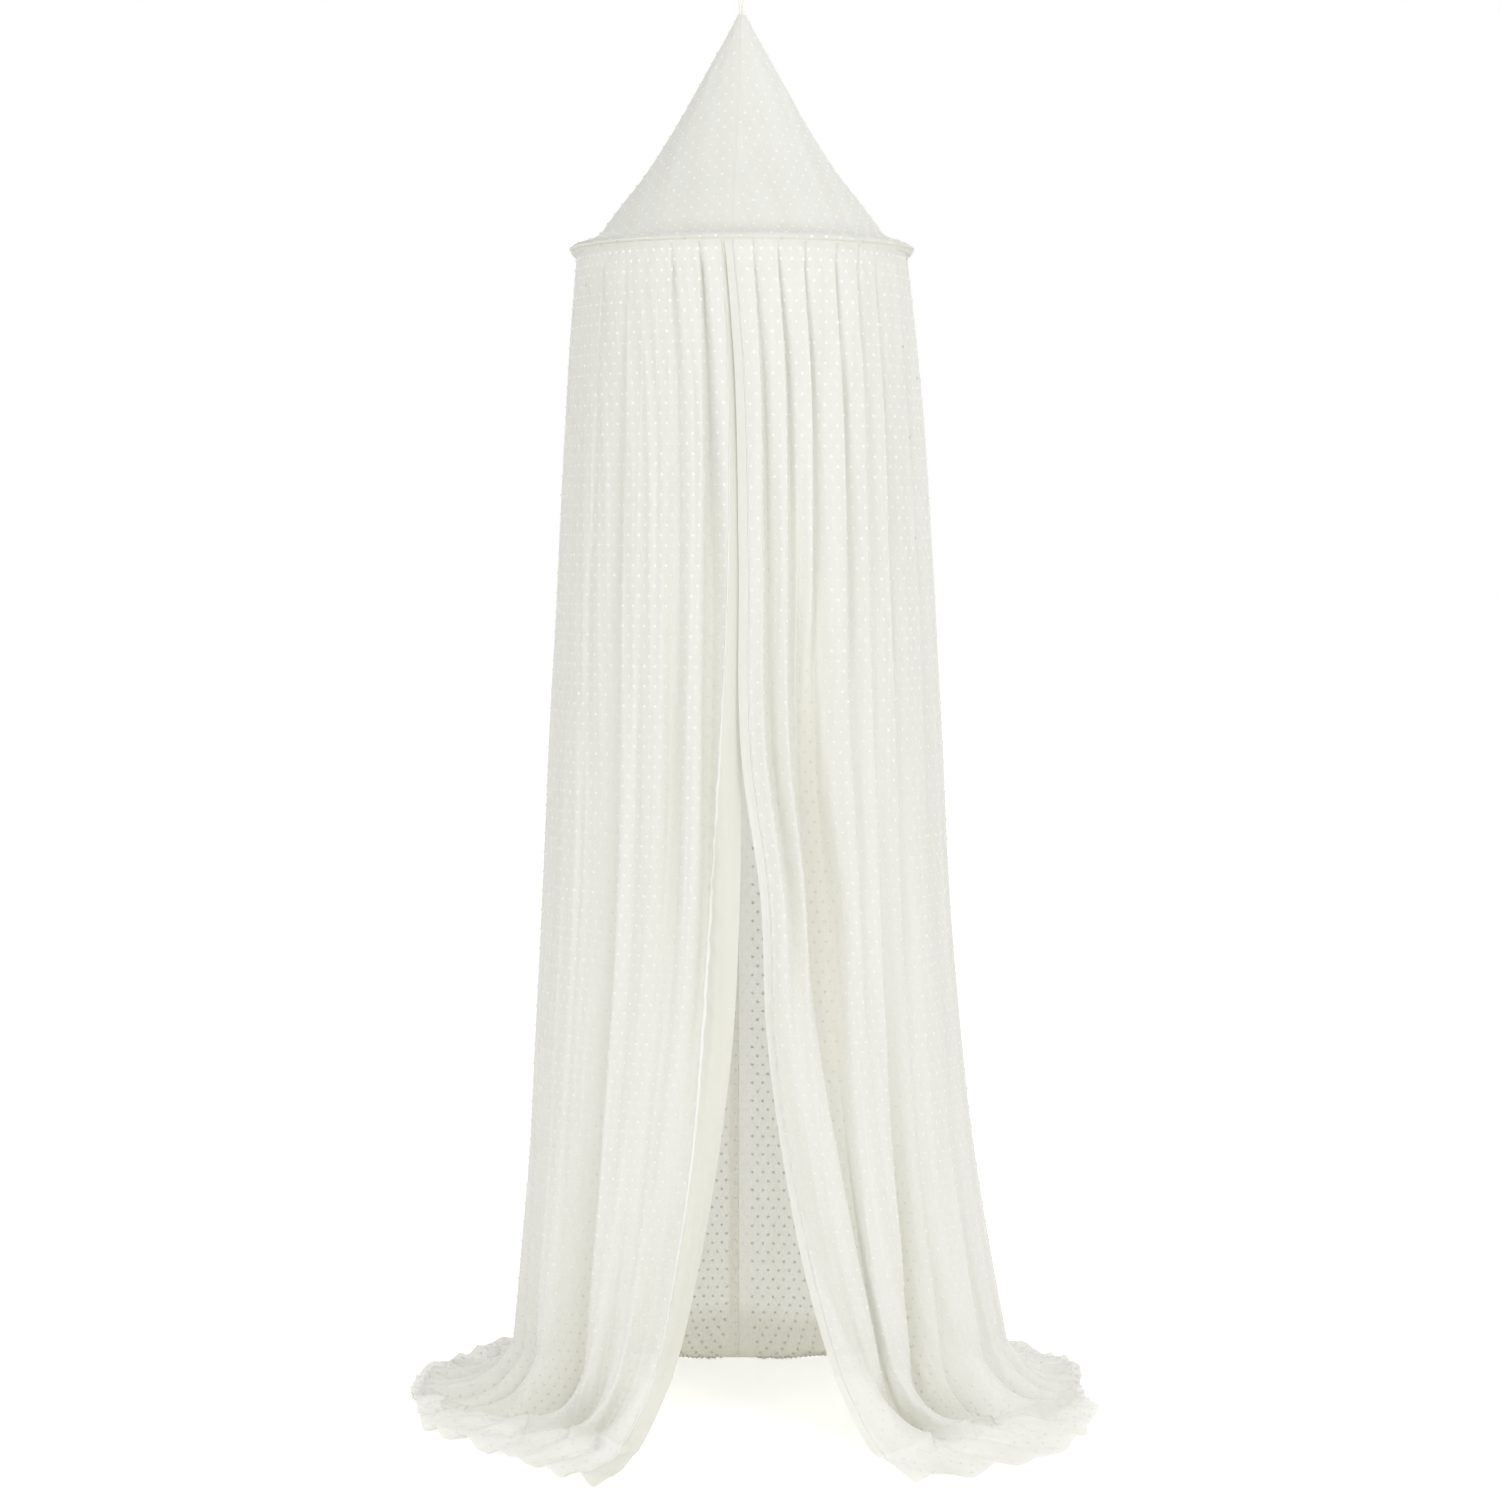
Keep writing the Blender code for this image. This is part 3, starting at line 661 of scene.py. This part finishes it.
RIGHT_FOLDS = (
    Fold(-3.2, 0, 0, 3, 18, 6, 1.0, 0.1, 0, 12),
    Fold(3.8, 5, 20, 23, 0, 0, 1.4, 0.4, 0, 6.5),
    Fold(11.9, 7, 19, 22, 2, 0, 1.4, 0.4, 0, -0.2),
    Fold(17.2, 0, 5, 32, 24, 20, 1.9, 0.0, 4, -4, 0.88),
    Fold(21, 8, 18, 13, 3, 3, 1.4, 0.4, 0, -1),
    Fold(32.6, 9, 17, 10, 4, 3, 1.4, 0.4, 0, -3),
    Fold(41.5, 8, 9, 9, 24, 28, 1.5, 0.5, 0, -9),
    Fold(50.4, 7, 14, 11, 4, 20, 1.2, 0.4, 0, -3),
    Fold(65, 7, 11, 8, 5, 20, 1.2, 0.4),
    Fold(78, 12, 14, 10, 8, 14, 1.3, 0.4),
    Fold(90, 24, 28, 22, 18, 14, 1.0, 0.4),
    Fold(102, 28, 32, 32, 28, 24, 1.3, 0.3),
    Fold(114, 28, 32, 28, 20, 12, 1.0, 0.4),
    Fold(126, 28, 34, 34, 30, 24, 1.3, 0.3),
    Fold(138, 28, 32, 28, 20, 10, 1.0, 0.4),
    Fold(150, 28, 34, 34, 28, 20, 1.3, 0.3),
    Fold(164, 24, 22, 8, 3, 5, 1.1, 0.2),
)

# The cloth on the floor, by its angle at the foot: where it turns and where its hem lies, in
# metres, how high its ridges rise in mm, and the share of the way at which they end
Spread = namedtuple("Spread", "foot_deg turn_x turn_y hem_x hem_y rise toe")
LEFT_SPREAD = (
    Spread(22, 0.146, -0.34, 0.205, -0.448, 10, 0.42),
    Spread(27, 0.18, -0.33, 0.262, -0.405, 20, 0.4),
    Spread(31, 0.215, -0.31, 0.315, -0.355, 30, 0.4),
    Spread(36, 0.265, -0.27, 0.365, -0.298, 32, 0.42),
    Spread(42, 0.32, -0.215, 0.43, -0.232, 34, 0.42),
    Spread(50, 0.37, -0.155, 0.475, -0.185, 32, 0.46),
    Spread(62, 0.41, -0.1, 0.492, -0.105, 28, 0.68),
    Spread(76, 0.44, -0.045, 0.508, -0.035, 26, 0.84),
    Spread(95, 0.45, 0.03, 0.521, 0.04, 26, 0.86),
    Spread(112, 0.43, 0.12, 0.51, 0.128, 20, 0.86),
    Spread(127, 0.37, 0.205, 0.442, 0.228, 14, 0.84),
    Spread(142, 0.3, 0.3, 0.37, 0.335, 10, 0.8),
    Spread(160, 0.112, 0.262, 0.108, 0.24, 2, 0.9),
    Spread(180, 0, 0.262, 0, 0.236, 2, 0.9),
)
RIGHT_SPREAD = (
    Spread(22, 0.178, -0.335, 0.238, -0.448, 8, 0.46),
    Spread(27, 0.215, -0.335, 0.31, -0.415, 12, 0.46),
    Spread(31, 0.27, -0.31, 0.385, -0.37, 26, 0.44),
    Spread(35, 0.33, -0.265, 0.455, -0.31, 34, 0.42),
    Spread(40, 0.39, -0.2, 0.505, -0.235, 34, 0.42),
    Spread(48, 0.43, -0.15, 0.522, -0.165, 32, 0.46),
    Spread(60, 0.46, -0.1, 0.545, -0.095, 28, 0.58),
    Spread(75, 0.49, -0.045, 0.54, -0.03, 26, 0.72),
    Spread(95, 0.49, 0.035, 0.533, 0.05, 26, 0.86),
    Spread(115, 0.47, 0.14, 0.54, 0.15, 20, 0.86),
    Spread(130, 0.42, 0.22, 0.5, 0.235, 14, 0.84),
    Spread(145, 0.33, 0.3, 0.4, 0.33, 10, 0.8),
    Spread(160, 0.12, 0.262, 0.115, 0.24, 2, 0.9),
    Spread(180, 0, 0.262, 0, 0.236, 2, 0.9),
)

# A row for each width: the side it hangs on, the angle of its edge under the hoop, its folds and
# spread, how far its hem turns into view, how dense its hem looks, with painted shade on the left
# width's hem, and how dense its seam looks
Panel = namedtuple("Panel", "name hand side edge_home folds spread "
                            "hem_share hem_layers seam_layers seed")
PANELS = (
    # The left width's hem strip is darker than its two layers make it: painted shade
    Panel("curtain_left", "left", -1, 6.0, LEFT_FOLDS, LEFT_SPREAD, 1.0, 0.55, 0.45, 11),
    Panel("curtain_right", "right", 1, -5.4, RIGHT_FOLDS, RIGHT_SPREAD, 0.38, 0.10, 0.0, 23),
)

# Folds on the hanging cloth
DEEPEST_FOLD = 0.040
HOLLOW_DEPTH = 0.030
PULL_REACH_DEG = 34.0
SLOPE_POWER = 1.6
DRIFT_POWER = 6
NARROWING_RUN = 0.30
NARROWED = 0.25
MOUTH_SHARE = 1.3
CLOSEST_SHARE = 0.38
SETTLE_DROP = 0.25
TOP_SHARE = 0.35
TOP_DROPS = (0.0, 0.004, 0.022)
Wander = namedtuple("Wander", "amount waves")
SWAY_DEG = Wander(0.25, 1.4)
BREADTH_WANDER = Wander(0.14, 2.1)
DEPTH_WANDER = Wander(0.10, 1.7)

# The heading, which is sewn under the crown's lip
HEADING_ROLLS = np.radians(np.linspace(-20, -75, 12))
HEADING_RADIUS = CASING_RADIUS + CLOTH_GAP
HEADING_FALL = 0.022
HEADING_POWER = 1.5
SIDE_HUGS_DEG = (60, 82)
BACK_HUGS_DEG = (130, 150)
FRILL = 0.0006
FRILL_WAVES = 4.1
FRILL_WANDER = 0.9
FRILL_SWING = 2
FRILL_ROLLS = (0.35, 0.60)

# The bend at the foot and the cloth on the floor
CLOTH_LIFT = 0.0015
CORNER_DROP = 0.945
CORNER_TURN = 0.30
CORNER_SAG = 0.010
VALLEY_TOE_DEG = (50, 75)
VALLEY_TOE = (0.16, 0.60)
FLOOR_FOLD = 0.022
CURL_RUN = 0.06
LOOSE_TO_DEG = (140, 155)
LOBE_HEIGHT = 0.009
LOBE_PITCHES = ((0.13, 0.17), (0.075, 0.11), (0.16, 0.09))
LOBE_SEED = 5
LOBE_LEVEL = 0.55
LOBE_SWING = 0.6
LOBE_MOST = 1.5
HEM_RUFFLE = 0.009
RUFFLE_PITCH_DEG = 7.5
RUFFLE_PITCH_WANDER = Wander(1.7, 0.31)
RUFFLE_HEIGHT_WANDER = Wander(0.3, 0.83)
RUFFLE_POWER = 5
BACK_SCALLOP = 0.005
SCALLOP_POWER = 3

# The seam at the back
SEAM_PLACE = -0.007
SEAM_PULL_REACH = 0.10
SEAM_PULL_DROP = 0.4
SEAM_HALF_GAP = 0.0003
SEAM_LAP = 0.0015

# The grid: columns follow the folds, rows are closest at the heading and at the foot
FINER = 5
WALL_ROWS = np.concatenate([np.linspace(0.004, 0.03, 9), np.linspace(0.03, CORNER_DROP, 190)[1:]])
CORNER_STEPS = np.linspace(0, 1, 27)[1:]
SPREAD_STEPS = np.linspace(0, 1, 44)[1:]


def smooth(share):
    """A share from 0 to 1, eased at both ends."""
    return share * share * (3 - 2 * share)


def level(column, drop):
    """A column of the levels table at a share of the drop."""
    return curve_through(listed(LEVELS, "drop"), listed(LEVELS, column), drop)


def spread_column(panel, column, angles):
    """A column of the panel's spread table at angles of the foot."""
    return curve_through(listed(panel.spread, "foot_deg"), listed(panel.spread, column), angles)


def turned(panel, home, drop):
    """The angle at drop of the cloth that hangs from home, as its edge is pulled."""
    sine = panel.side * level(panel.hand + "_edge", drop) / level(panel.hand, drop)
    pull = np.degrees(np.arcsin(sine)) - panel.edge_home
    return home + pull * np.exp(-((home - panel.edge_home) / PULL_REACH_DEG) ** 2)


def past_edge(panel, angles, drop):
    """How far the cloth lies from the front edge, as a share of the edge's turned facing."""
    facing_deg = np.degrees(level(panel.hand + "_facing", drop) / level(panel.hand, drop))
    return (angles - turned(panel, panel.edge_home, drop)) / facing_deg


def wandering(wander, drop, starts):
    """A slow change down each fold, which sets in below the gathers."""
    settled = min(1, drop / SETTLE_DROP)
    return wander.amount * settled * np.sin(math.tau * drop * wander.waves + starts)


def fold_places(panel, drop):
    """The angle, half mouth in degrees and depth of every fold at a share of the drop."""
    homes, drifts, breadths = (listed(panel.folds, name) for name in ("home", "drift", "breadth"))
    depths = np.array([curve_through(FOLD_DROPS, fold[1:6], drop) for fold in panel.folds]) / 1000
    starts = np.random.default_rng(panel.seed).uniform(0, math.tau, (3, len(homes)))
    centres = turned(panel, homes + drifts * drop ** DRIFT_POWER, drop)
    centres = centres + wandering(SWAY_DEG, drop, starts[0])
    narrowing = np.array([
        np.interp(drop, (fold.narrows - NARROWING_RUN, fold.narrows), (1, NARROWED))
        if fold.narrows else 1 for fold in panel.folds])
    halves = curve_through(MOUTH_DROPS, MOUTH_HALVES, drop) * breadths * narrowing
    halves = halves * (1 + wandering(BREADTH_WANDER, drop, starts[1]))
    depths = depths * (1 + wandering(DEPTH_WANDER, drop, starts[2]))
    return centres, np.degrees(halves / level(panel.hand, drop)), np.maximum(depths, 0)


def fold_depth(panel, angles, drop):
    """How far the cloth at these angles lies inside its outline."""
    crispness = np.interp(drop, CRISP_DROPS, CRISPNESS)
    turn_depth = max(level(panel.hand + "_turn", drop), 0)
    clear = 1 - turn_depth / DEEPEST_FOLD * np.clip(1 - past_edge(panel, angles, drop), 0, 1)
    for centre, half, depth, fold in zip(*fold_places(panel, drop), panel.folds):
        away = (angles - centre) * panel.side * (-1 if fold.lean < 0 else 1)
        steep, gradual = half * (1 - abs(fold.lean)), half * (1 + abs(fold.lean))
        power = crispness + fold.square if fold.square else SLOPE_POWER
        share = np.where(away < 0, np.exp(-np.abs(away / steep) ** (crispness + fold.square)),
                         np.exp(-np.abs(away / gradual) ** power))
        clear = clear * (1 - depth / DEEPEST_FOLD * share)
    return DEEPEST_FOLD * (1 - clear) * np.interp(drop, TOP_DROPS, (1, TOP_SHARE, 1))


def column_angles(panel, drop):
    """Angles of the columns: the edge, each fold's sides and bottom, and the faces between."""
    centres, halves, _ = fold_places(panel, drop)
    edge = turned(panel, panel.edge_home, drop)
    stops = np.concatenate([[edge], centres, [180.0]])
    lefts = centres - np.minimum(MOUTH_SHARE * halves, CLOSEST_SHARE * np.diff(stops)[:-1])
    rights = centres + np.minimum(MOUTH_SHARE * halves, CLOSEST_SHARE * np.diff(stops)[1:])
    columns = [edge]
    for left, centre, right in zip(lefts, centres, rights):
        columns += [(columns[-1] + left) / 2, left, centre, right]
    columns += [(columns[-1] + 180.0) / 2, 180.0]
    finer = np.linspace(0, len(columns) - 1, (len(columns) - 1) * FINER + 1)
    return np.interp(finer, np.arange(len(columns)), columns)


def outline(panel, angles, drop):
    """Points of the curtain's outline at a share of the drop, on the panel's own side."""
    turn = np.radians(angles)
    depth = np.where(np.cos(turn) > 0, level("front", drop), level("back", drop))
    height = np.full_like(turn, CURTAIN_TOP_Z - drop * CURTAIN_DROP)
    return np.stack([level(panel.hand, drop) * np.sin(turn), -depth * np.cos(turn), height], 1)


def inward(angles, depth):
    """Steps of these depths towards the canopy's middle line."""
    turn = np.radians(angles)
    return np.stack([-np.sin(turn), np.cos(turn), np.zeros_like(turn)], 1) * depth[:, None]


def hollow_share(depth):
    """How hollow cloth looks at a depth inside its outline, from 0 to 1."""
    return np.clip(depth / HOLLOW_DEPTH, 0, 1)


def stand_off(angles, below):
    """How far the heading stands outside the hoop as it falls from the casing."""
    hugging = np.interp(angles, SIDE_HUGS_DEG, (0, 1)) * np.interp(angles, BACK_HUGS_DEG, (1, 0))
    fall = np.exp(-(below / HEADING_FALL) ** HEADING_POWER)
    return (1 - hugging) * HEADING_RADIUS * fall


def heading_row(panel, roll):
    """A row of the heading, which falls over the casing, and how hollow it is."""
    angles = column_angles(panel, 0.0)
    pleat = fold_depth(panel, angles, 0.0) * TOP_SHARE
    frill = FRILL * np.interp(-roll, FRILL_ROLLS, (1, 0))
    frill = frill * np.sin(angles * FRILL_WAVES + FRILL_SWING * np.sin(angles * FRILL_WANDER))
    below = -HEADING_RADIUS * math.sin(roll)
    hugging = HEADING_RADIUS * math.cos(roll)
    radius = HOOP_RADIUS + np.maximum(hugging, stand_off(angles, below) - pleat) + frill
    turn = np.radians(angles)
    height = np.full_like(turn, HOOP_Z - below)
    row = np.stack([radius * np.sin(turn), -radius * np.cos(turn), height], 1)
    return row, np.zeros_like(angles)


def wall_row(panel, drop):
    """A hanging row at a share of the drop, and how hollow it is."""
    angles = column_angles(panel, drop)
    depth = fold_depth(panel, angles, drop) - stand_off(angles, drop * CURTAIN_DROP + CASING_RADIUS)
    return outline(panel, angles, drop) + inward(angles, depth), hollow_share(depth)


def spread_points(panel, angles, share):
    """Points on the floor at a share of the way from the foot to the hem."""
    foot = outline(panel, angles, 1.0)
    turn_point, hem = foot.copy(), foot.copy()
    for axis, (turn_name, hem_name) in enumerate((("turn_x", "hem_x"), ("turn_y", "hem_y"))):
        turn_point[:, axis] = spread_column(panel, turn_name, angles)
        hem[:, axis] = spread_column(panel, hem_name, angles)
    share = share[:, None]
    points = (1 - share) ** 2 * foot + 2 * share * (1 - share) * turn_point + share ** 2 * hem
    points[:, 2] = FLOOR_Z
    return points


def floor_row(panel, angles, depth, past_toe):
    """A row on the floor, at a share of the way from the folds' toes to the hem."""
    valley = smooth(np.clip(depth / FLOOR_FOLD, 0, 1))
    toe = spread_column(panel, "toe", angles)
    toe = toe * (1 + (np.interp(angles, VALLEY_TOE_DEG, VALLEY_TOE) - 1) * valley)
    share = toe + (1 - toe) * past_toe
    ridge = spread_column(panel, "rise", angles) / 1000 * (1 - valley)
    stand = 1 - smooth(np.clip((share - toe) / CURL_RUN, 0, 1))
    flat = spread_points(panel, angles, share)
    rumple = waves(flat[:, 0], flat[:, 1], panel.seed + LOBE_SEED, LOBE_PITCHES, 1.0)
    loose = np.interp(angles, LOOSE_TO_DEG, (1, 0))
    lobes = np.clip(LOBE_LEVEL + LOBE_SWING * rumple, 0, LOBE_MOST)
    lobes = LOBE_HEIGHT * loose * (1 - stand) * lobes
    swing = RUFFLE_PITCH_WANDER.amount * np.sin(angles * RUFFLE_PITCH_WANDER.waves + panel.seed)
    frill = np.sin(math.tau * angles / RUFFLE_PITCH_DEG + swing)
    uneven = 1 + RUFFLE_HEIGHT_WANDER.amount * (np.sin(angles * RUFFLE_HEIGHT_WANDER.waves) - 1)
    ruffle = HEM_RUFFLE * loose * past_toe ** RUFFLE_POWER * (0.5 + 0.5 * frill) * uneven
    scallop = BACK_SCALLOP * (1 - loose) * (past_toe * np.maximum(frill, 0)) ** SCALLOP_POWER
    flat[:, 2] = FLOOR_Z + 2 * CLOTH_LIFT + ridge * stand + lobes + ruffle + scallop
    return flat, toe, valley, valley * stand


def corner_row(panel, corner):
    """A row of the bend from the hanging cloth to the folds' toes, and how hollow it is."""
    angles = column_angles(panel, 1.0)
    depth = fold_depth(panel, angles, 1.0)
    flat, toe, valley, hollow = floor_row(panel, angles, depth, 0.0)
    wall_angles = column_angles(panel, CORNER_DROP)
    wall_depth = fold_depth(panel, wall_angles, CORNER_DROP)
    wall = outline(panel, wall_angles, CORNER_DROP) + inward(angles, wall_depth)
    foot = spread_points(panel, angles, toe * CORNER_TURN) + inward(angles, depth)
    foot[:, 2] = FLOOR_Z + 2 * CLOTH_LIFT + CORNER_SAG * (1 - valley)
    bend = (1 - corner) ** 2 * wall + 2 * corner * (1 - corner) * foot + corner ** 2 * flat
    return bend, (1 - corner) * hollow_share(wall_depth) + corner * hollow


def spread_row(panel, past_toe):
    """A row from the folds' toes to the hem, and how hollow it is."""
    angles = column_angles(panel, 1.0)
    flat, _, _, hollow = floor_row(panel, angles, fold_depth(panel, angles, 1.0), past_toe)
    return flat, hollow


def drape(panel):
    """The whole width as a grid of points, how hollow each is, and its place in the front hem."""
    rows = [heading_row(panel, roll) for roll in HEADING_ROLLS]
    rows += [wall_row(panel, drop) for drop in WALL_ROWS]
    rows += [corner_row(panel, corner) for corner in CORNER_STEPS]
    rows += [spread_row(panel, past_toe) for past_toe in SPREAD_STEPS]
    points = np.stack([row for row, _ in rows])
    hollows = np.stack([hollow for _, hollow in rows])
    corner_drops = CORNER_DROP + (1 - CORNER_DROP) * CORNER_STEPS
    drops = np.concatenate([np.zeros_like(HEADING_ROLLS), WALL_ROWS, corner_drops,
                            np.ones_like(SPREAD_STEPS)])
    facing = np.stack([past_edge(panel, column_angles(panel, drop), drop) for drop in drops])
    hem_place = np.clip(1 - facing / (2 * panel.hem_share), 0, 1)
    clear_of_seam = np.maximum(points[..., 0], SEAM_HALF_GAP)
    points[..., 0] = np.where(points[..., 1] > 0, clear_of_seam, points[..., 0]) * panel.side
    back = np.clip(points[..., 1] / level("back", 0.0), 0, 1)
    back = back * np.exp(-(points[..., 0] / SEAM_PULL_REACH) ** 2)
    fallen = np.clip((CURTAIN_TOP_Z - points[..., 2]) / (SEAM_PULL_DROP * CURTAIN_DROP), 0, 1)
    points[..., 0] += SEAM_PLACE * back * fallen
    if panel.side < 0:
        points[:, -1, 0] += SEAM_LAP
        points[:, -1, 1] -= SEAM_LAP / 2
    return points, hollows, hem_place


# Unevenness of hanging cloth, as (across, down) pitches in metres, and puckers along the hem
UNEVEN_PITCHES = ((0.021, 1.1), (0.034, 0.9), (0.055, 0.8), (0.027, 1.6))
UNEVEN_HEIGHT = 0.0007
UNEVEN_FADES = (12, 50, 12)
PUCKER_PITCHES = ((0.06, 0.045), (-0.09, 0.07), (0.05, 0.03))
PUCKER_SEED = 9
PUCKER_HEIGHT = 0.0014
PUCKER_PLACE = 0.55
PUCKER_REACH = 0.22
PUCKER_DOWN = (0.25, 0.50)


def unevenness(panel, share, down, hem_place):
    """How far the cloth stands out by its own unevenness and its hem's puckers."""
    across = share * CLOTH_WIDTH
    length = down[:, None] * CLOTH_LENGTH
    top, edge, back = UNEVEN_FADES
    fade = (np.clip(down[:, None] * top, 0, 1) * np.clip(share * edge, 0, 1)
            * np.clip((1 - share) * back, 0, 1))
    uneven = waves(across, length, panel.seed, UNEVEN_PITCHES, UNEVEN_HEIGHT) * fade
    at_hem = np.exp(-((hem_place - PUCKER_PLACE) / PUCKER_REACH) ** 2)
    at_hem = at_hem * np.interp(down, PUCKER_DOWN, (0, 1))[:, None]
    puckers = waves(across, length, panel.seed + PUCKER_SEED, PUCKER_PITCHES, PUCKER_HEIGHT)
    return uneven + puckers * at_hem


# How dense the cloth looks, from 0 for one layer to 1 for several, at the hems and the seam's
# allowance. The same value carries painted shade in deep valleys, on the back wall and at its foot.
HEM_SOFTNESS = 0.03
FOOT_HEM = 0.095
FOOT_HEM_SOFTNESS = 0.03
FOOT_LAYERS = 0.10
SEAM_ALLOWANCE = 0.016
SEAM_SOFTNESS = 0.002
HOLLOW_SHADE = 0.8
HOLLOW_SHADE_POWER = 1.5
BACK_SHADE_FROM_DEG = (115, 150)
BACK_SHADE_DOWN = (0.3, 0.9)
BACK_SHADE = (0.25, 0.50)
BACK_FOOT_SHADE = 0.45


def layers_and_shade_of(panel, points, across, down, hollows, hem_place):
    """How dense the cloth looks at each point of its grid, with painted shade in valleys and at the
    back.
    """
    run = lengths_along(points.transpose(1, 0, 2)).T
    in_hem = np.clip((hem_place - STITCH_PLACE) / HEM_SOFTNESS, 0, 1)
    in_foot_hem = np.clip((FOOT_HEM - (run[-1] - run)) / FOOT_HEM_SOFTNESS, 0, 1)
    in_seam = np.clip((SEAM_ALLOWANCE - (across[:, -1:] - across)) / SEAM_SOFTNESS, 0, 1)
    angles = np.degrees(np.arctan2(np.abs(points[..., 0]), -points[..., 1]))
    # Painted shade on the back wall, darker towards the foot, and more on its foot hem
    back_shade_share = np.interp(angles, BACK_SHADE_FROM_DEG, (0, 1))
    back = back_shade_share * np.interp(down[:, None], BACK_SHADE_DOWN, BACK_SHADE) + panel.seam_layers * in_seam
    back = np.minimum(back + BACK_FOOT_SHADE * back_shade_share * in_foot_hem, 1.0)
    # Deep valleys get painted shade by how hollow they are
    return np.maximum.reduce([panel.hem_layers * in_hem, FOOT_LAYERS * in_foot_hem,
                              HOLLOW_SHADE * hollows ** HOLLOW_SHADE_POWER, back])


# Dots of a width: the same lattice as the crown's, on its flat cut
DOTS_HEM_CLEAR = 0.46
DOTS_LAST = 0.998
SEAM_DOT_PITCH = 0.024
SEAM_DOTS_DOWN = (0.30, 0.955)
SEAM_DOTS_ACROSS = 0.4


def dot_places(share, down, hem_place):
    """Rows and columns of the dots in the width's grid, clear of its front hem."""
    every_row, every_column = np.arange(len(down)), np.arange(share.shape[1])
    lattice = []
    for row in range(1, int(CLOTH_LENGTH / DOT_DOWN * 2)):
        grid_row = np.interp(row * DOT_DOWN / 2 / CLOTH_LENGTH, down, every_row)
        nearest = int(round(grid_row))
        first = DOT_ACROSS * 0.5 * (row % 2)
        wanted = (first + np.arange(int(CLOTH_WIDTH / DOT_ACROSS)) * DOT_ACROSS) / CLOTH_WIDTH
        columns = np.interp(wanted[wanted < DOTS_LAST], share[nearest], every_column)
        outside_hem = np.interp(columns, every_column, hem_place[nearest]) < DOTS_HEM_CLEAR
        lattice += [(grid_row, column) for column in columns[outside_hem]]
    return np.array(lattice)


def seam_dot_places(share, down):
    """Rows and columns of the dots on the seam's allowance."""
    wanted = np.arange(*SEAM_DOTS_DOWN, SEAM_DOT_PITCH / CLOTH_LENGTH)
    rows = np.interp(wanted, down, np.arange(len(down)))
    across = 1 - SEAM_DOTS_ACROSS * SEAM_ALLOWANCE / CLOTH_WIDTH
    column = np.interp(across, share[len(down) // 2], np.arange(share.shape[1]))
    return np.stack([rows, np.full_like(rows, column)], 1)


for panel in PANELS:
    points, hollows, hem_place = drape(panel)
    across = lengths_along(points)
    share = across / across[:, -1:]
    down = lengths_along(points.transpose(1, 0, 2)).mean(0)
    down = down / down[-1]
    out = normals_of(points) * -panel.side
    points = points + out * unevenness(panel, share, down, hem_place)[..., None]
    out = normals_of(points) * -panel.side
    layers = layers_and_shade_of(panel, points, across, down, hollows, hem_place)
    flat = np.stack(np.broadcast_arrays(share * CLOTH_WIDTH, down[:, None] * CLOTH_LENGTH), -1)
    cloth_mesh = grid_mesh(panel.name + "_cloth", points, flat,
                           {"layers": layers, "hem_place": hem_place}, flip=panel.side > 0)
    cloth_mesh.materials.append(chiffon)
    cloth_piece = link_object(panel.name + "_cloth", cloth_mesh)
    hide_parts(panel.name)
    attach(cloth_piece, "root")

    dots = dotted(panel.name + "_dots", points, out, layers,
                  dot_places(share, down, hem_place), tuft_yarn)
    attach(dots, "root")
    if panel.seam_layers:
        # The seam's allowance is pressed to the left, so its dots show on the inside
        seam_dots = dotted(panel.name + "_seam_dots", points, -out, 0 * layers,
                           seam_dot_places(share, down), tuft_yarn)
        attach(seam_dots, "root")
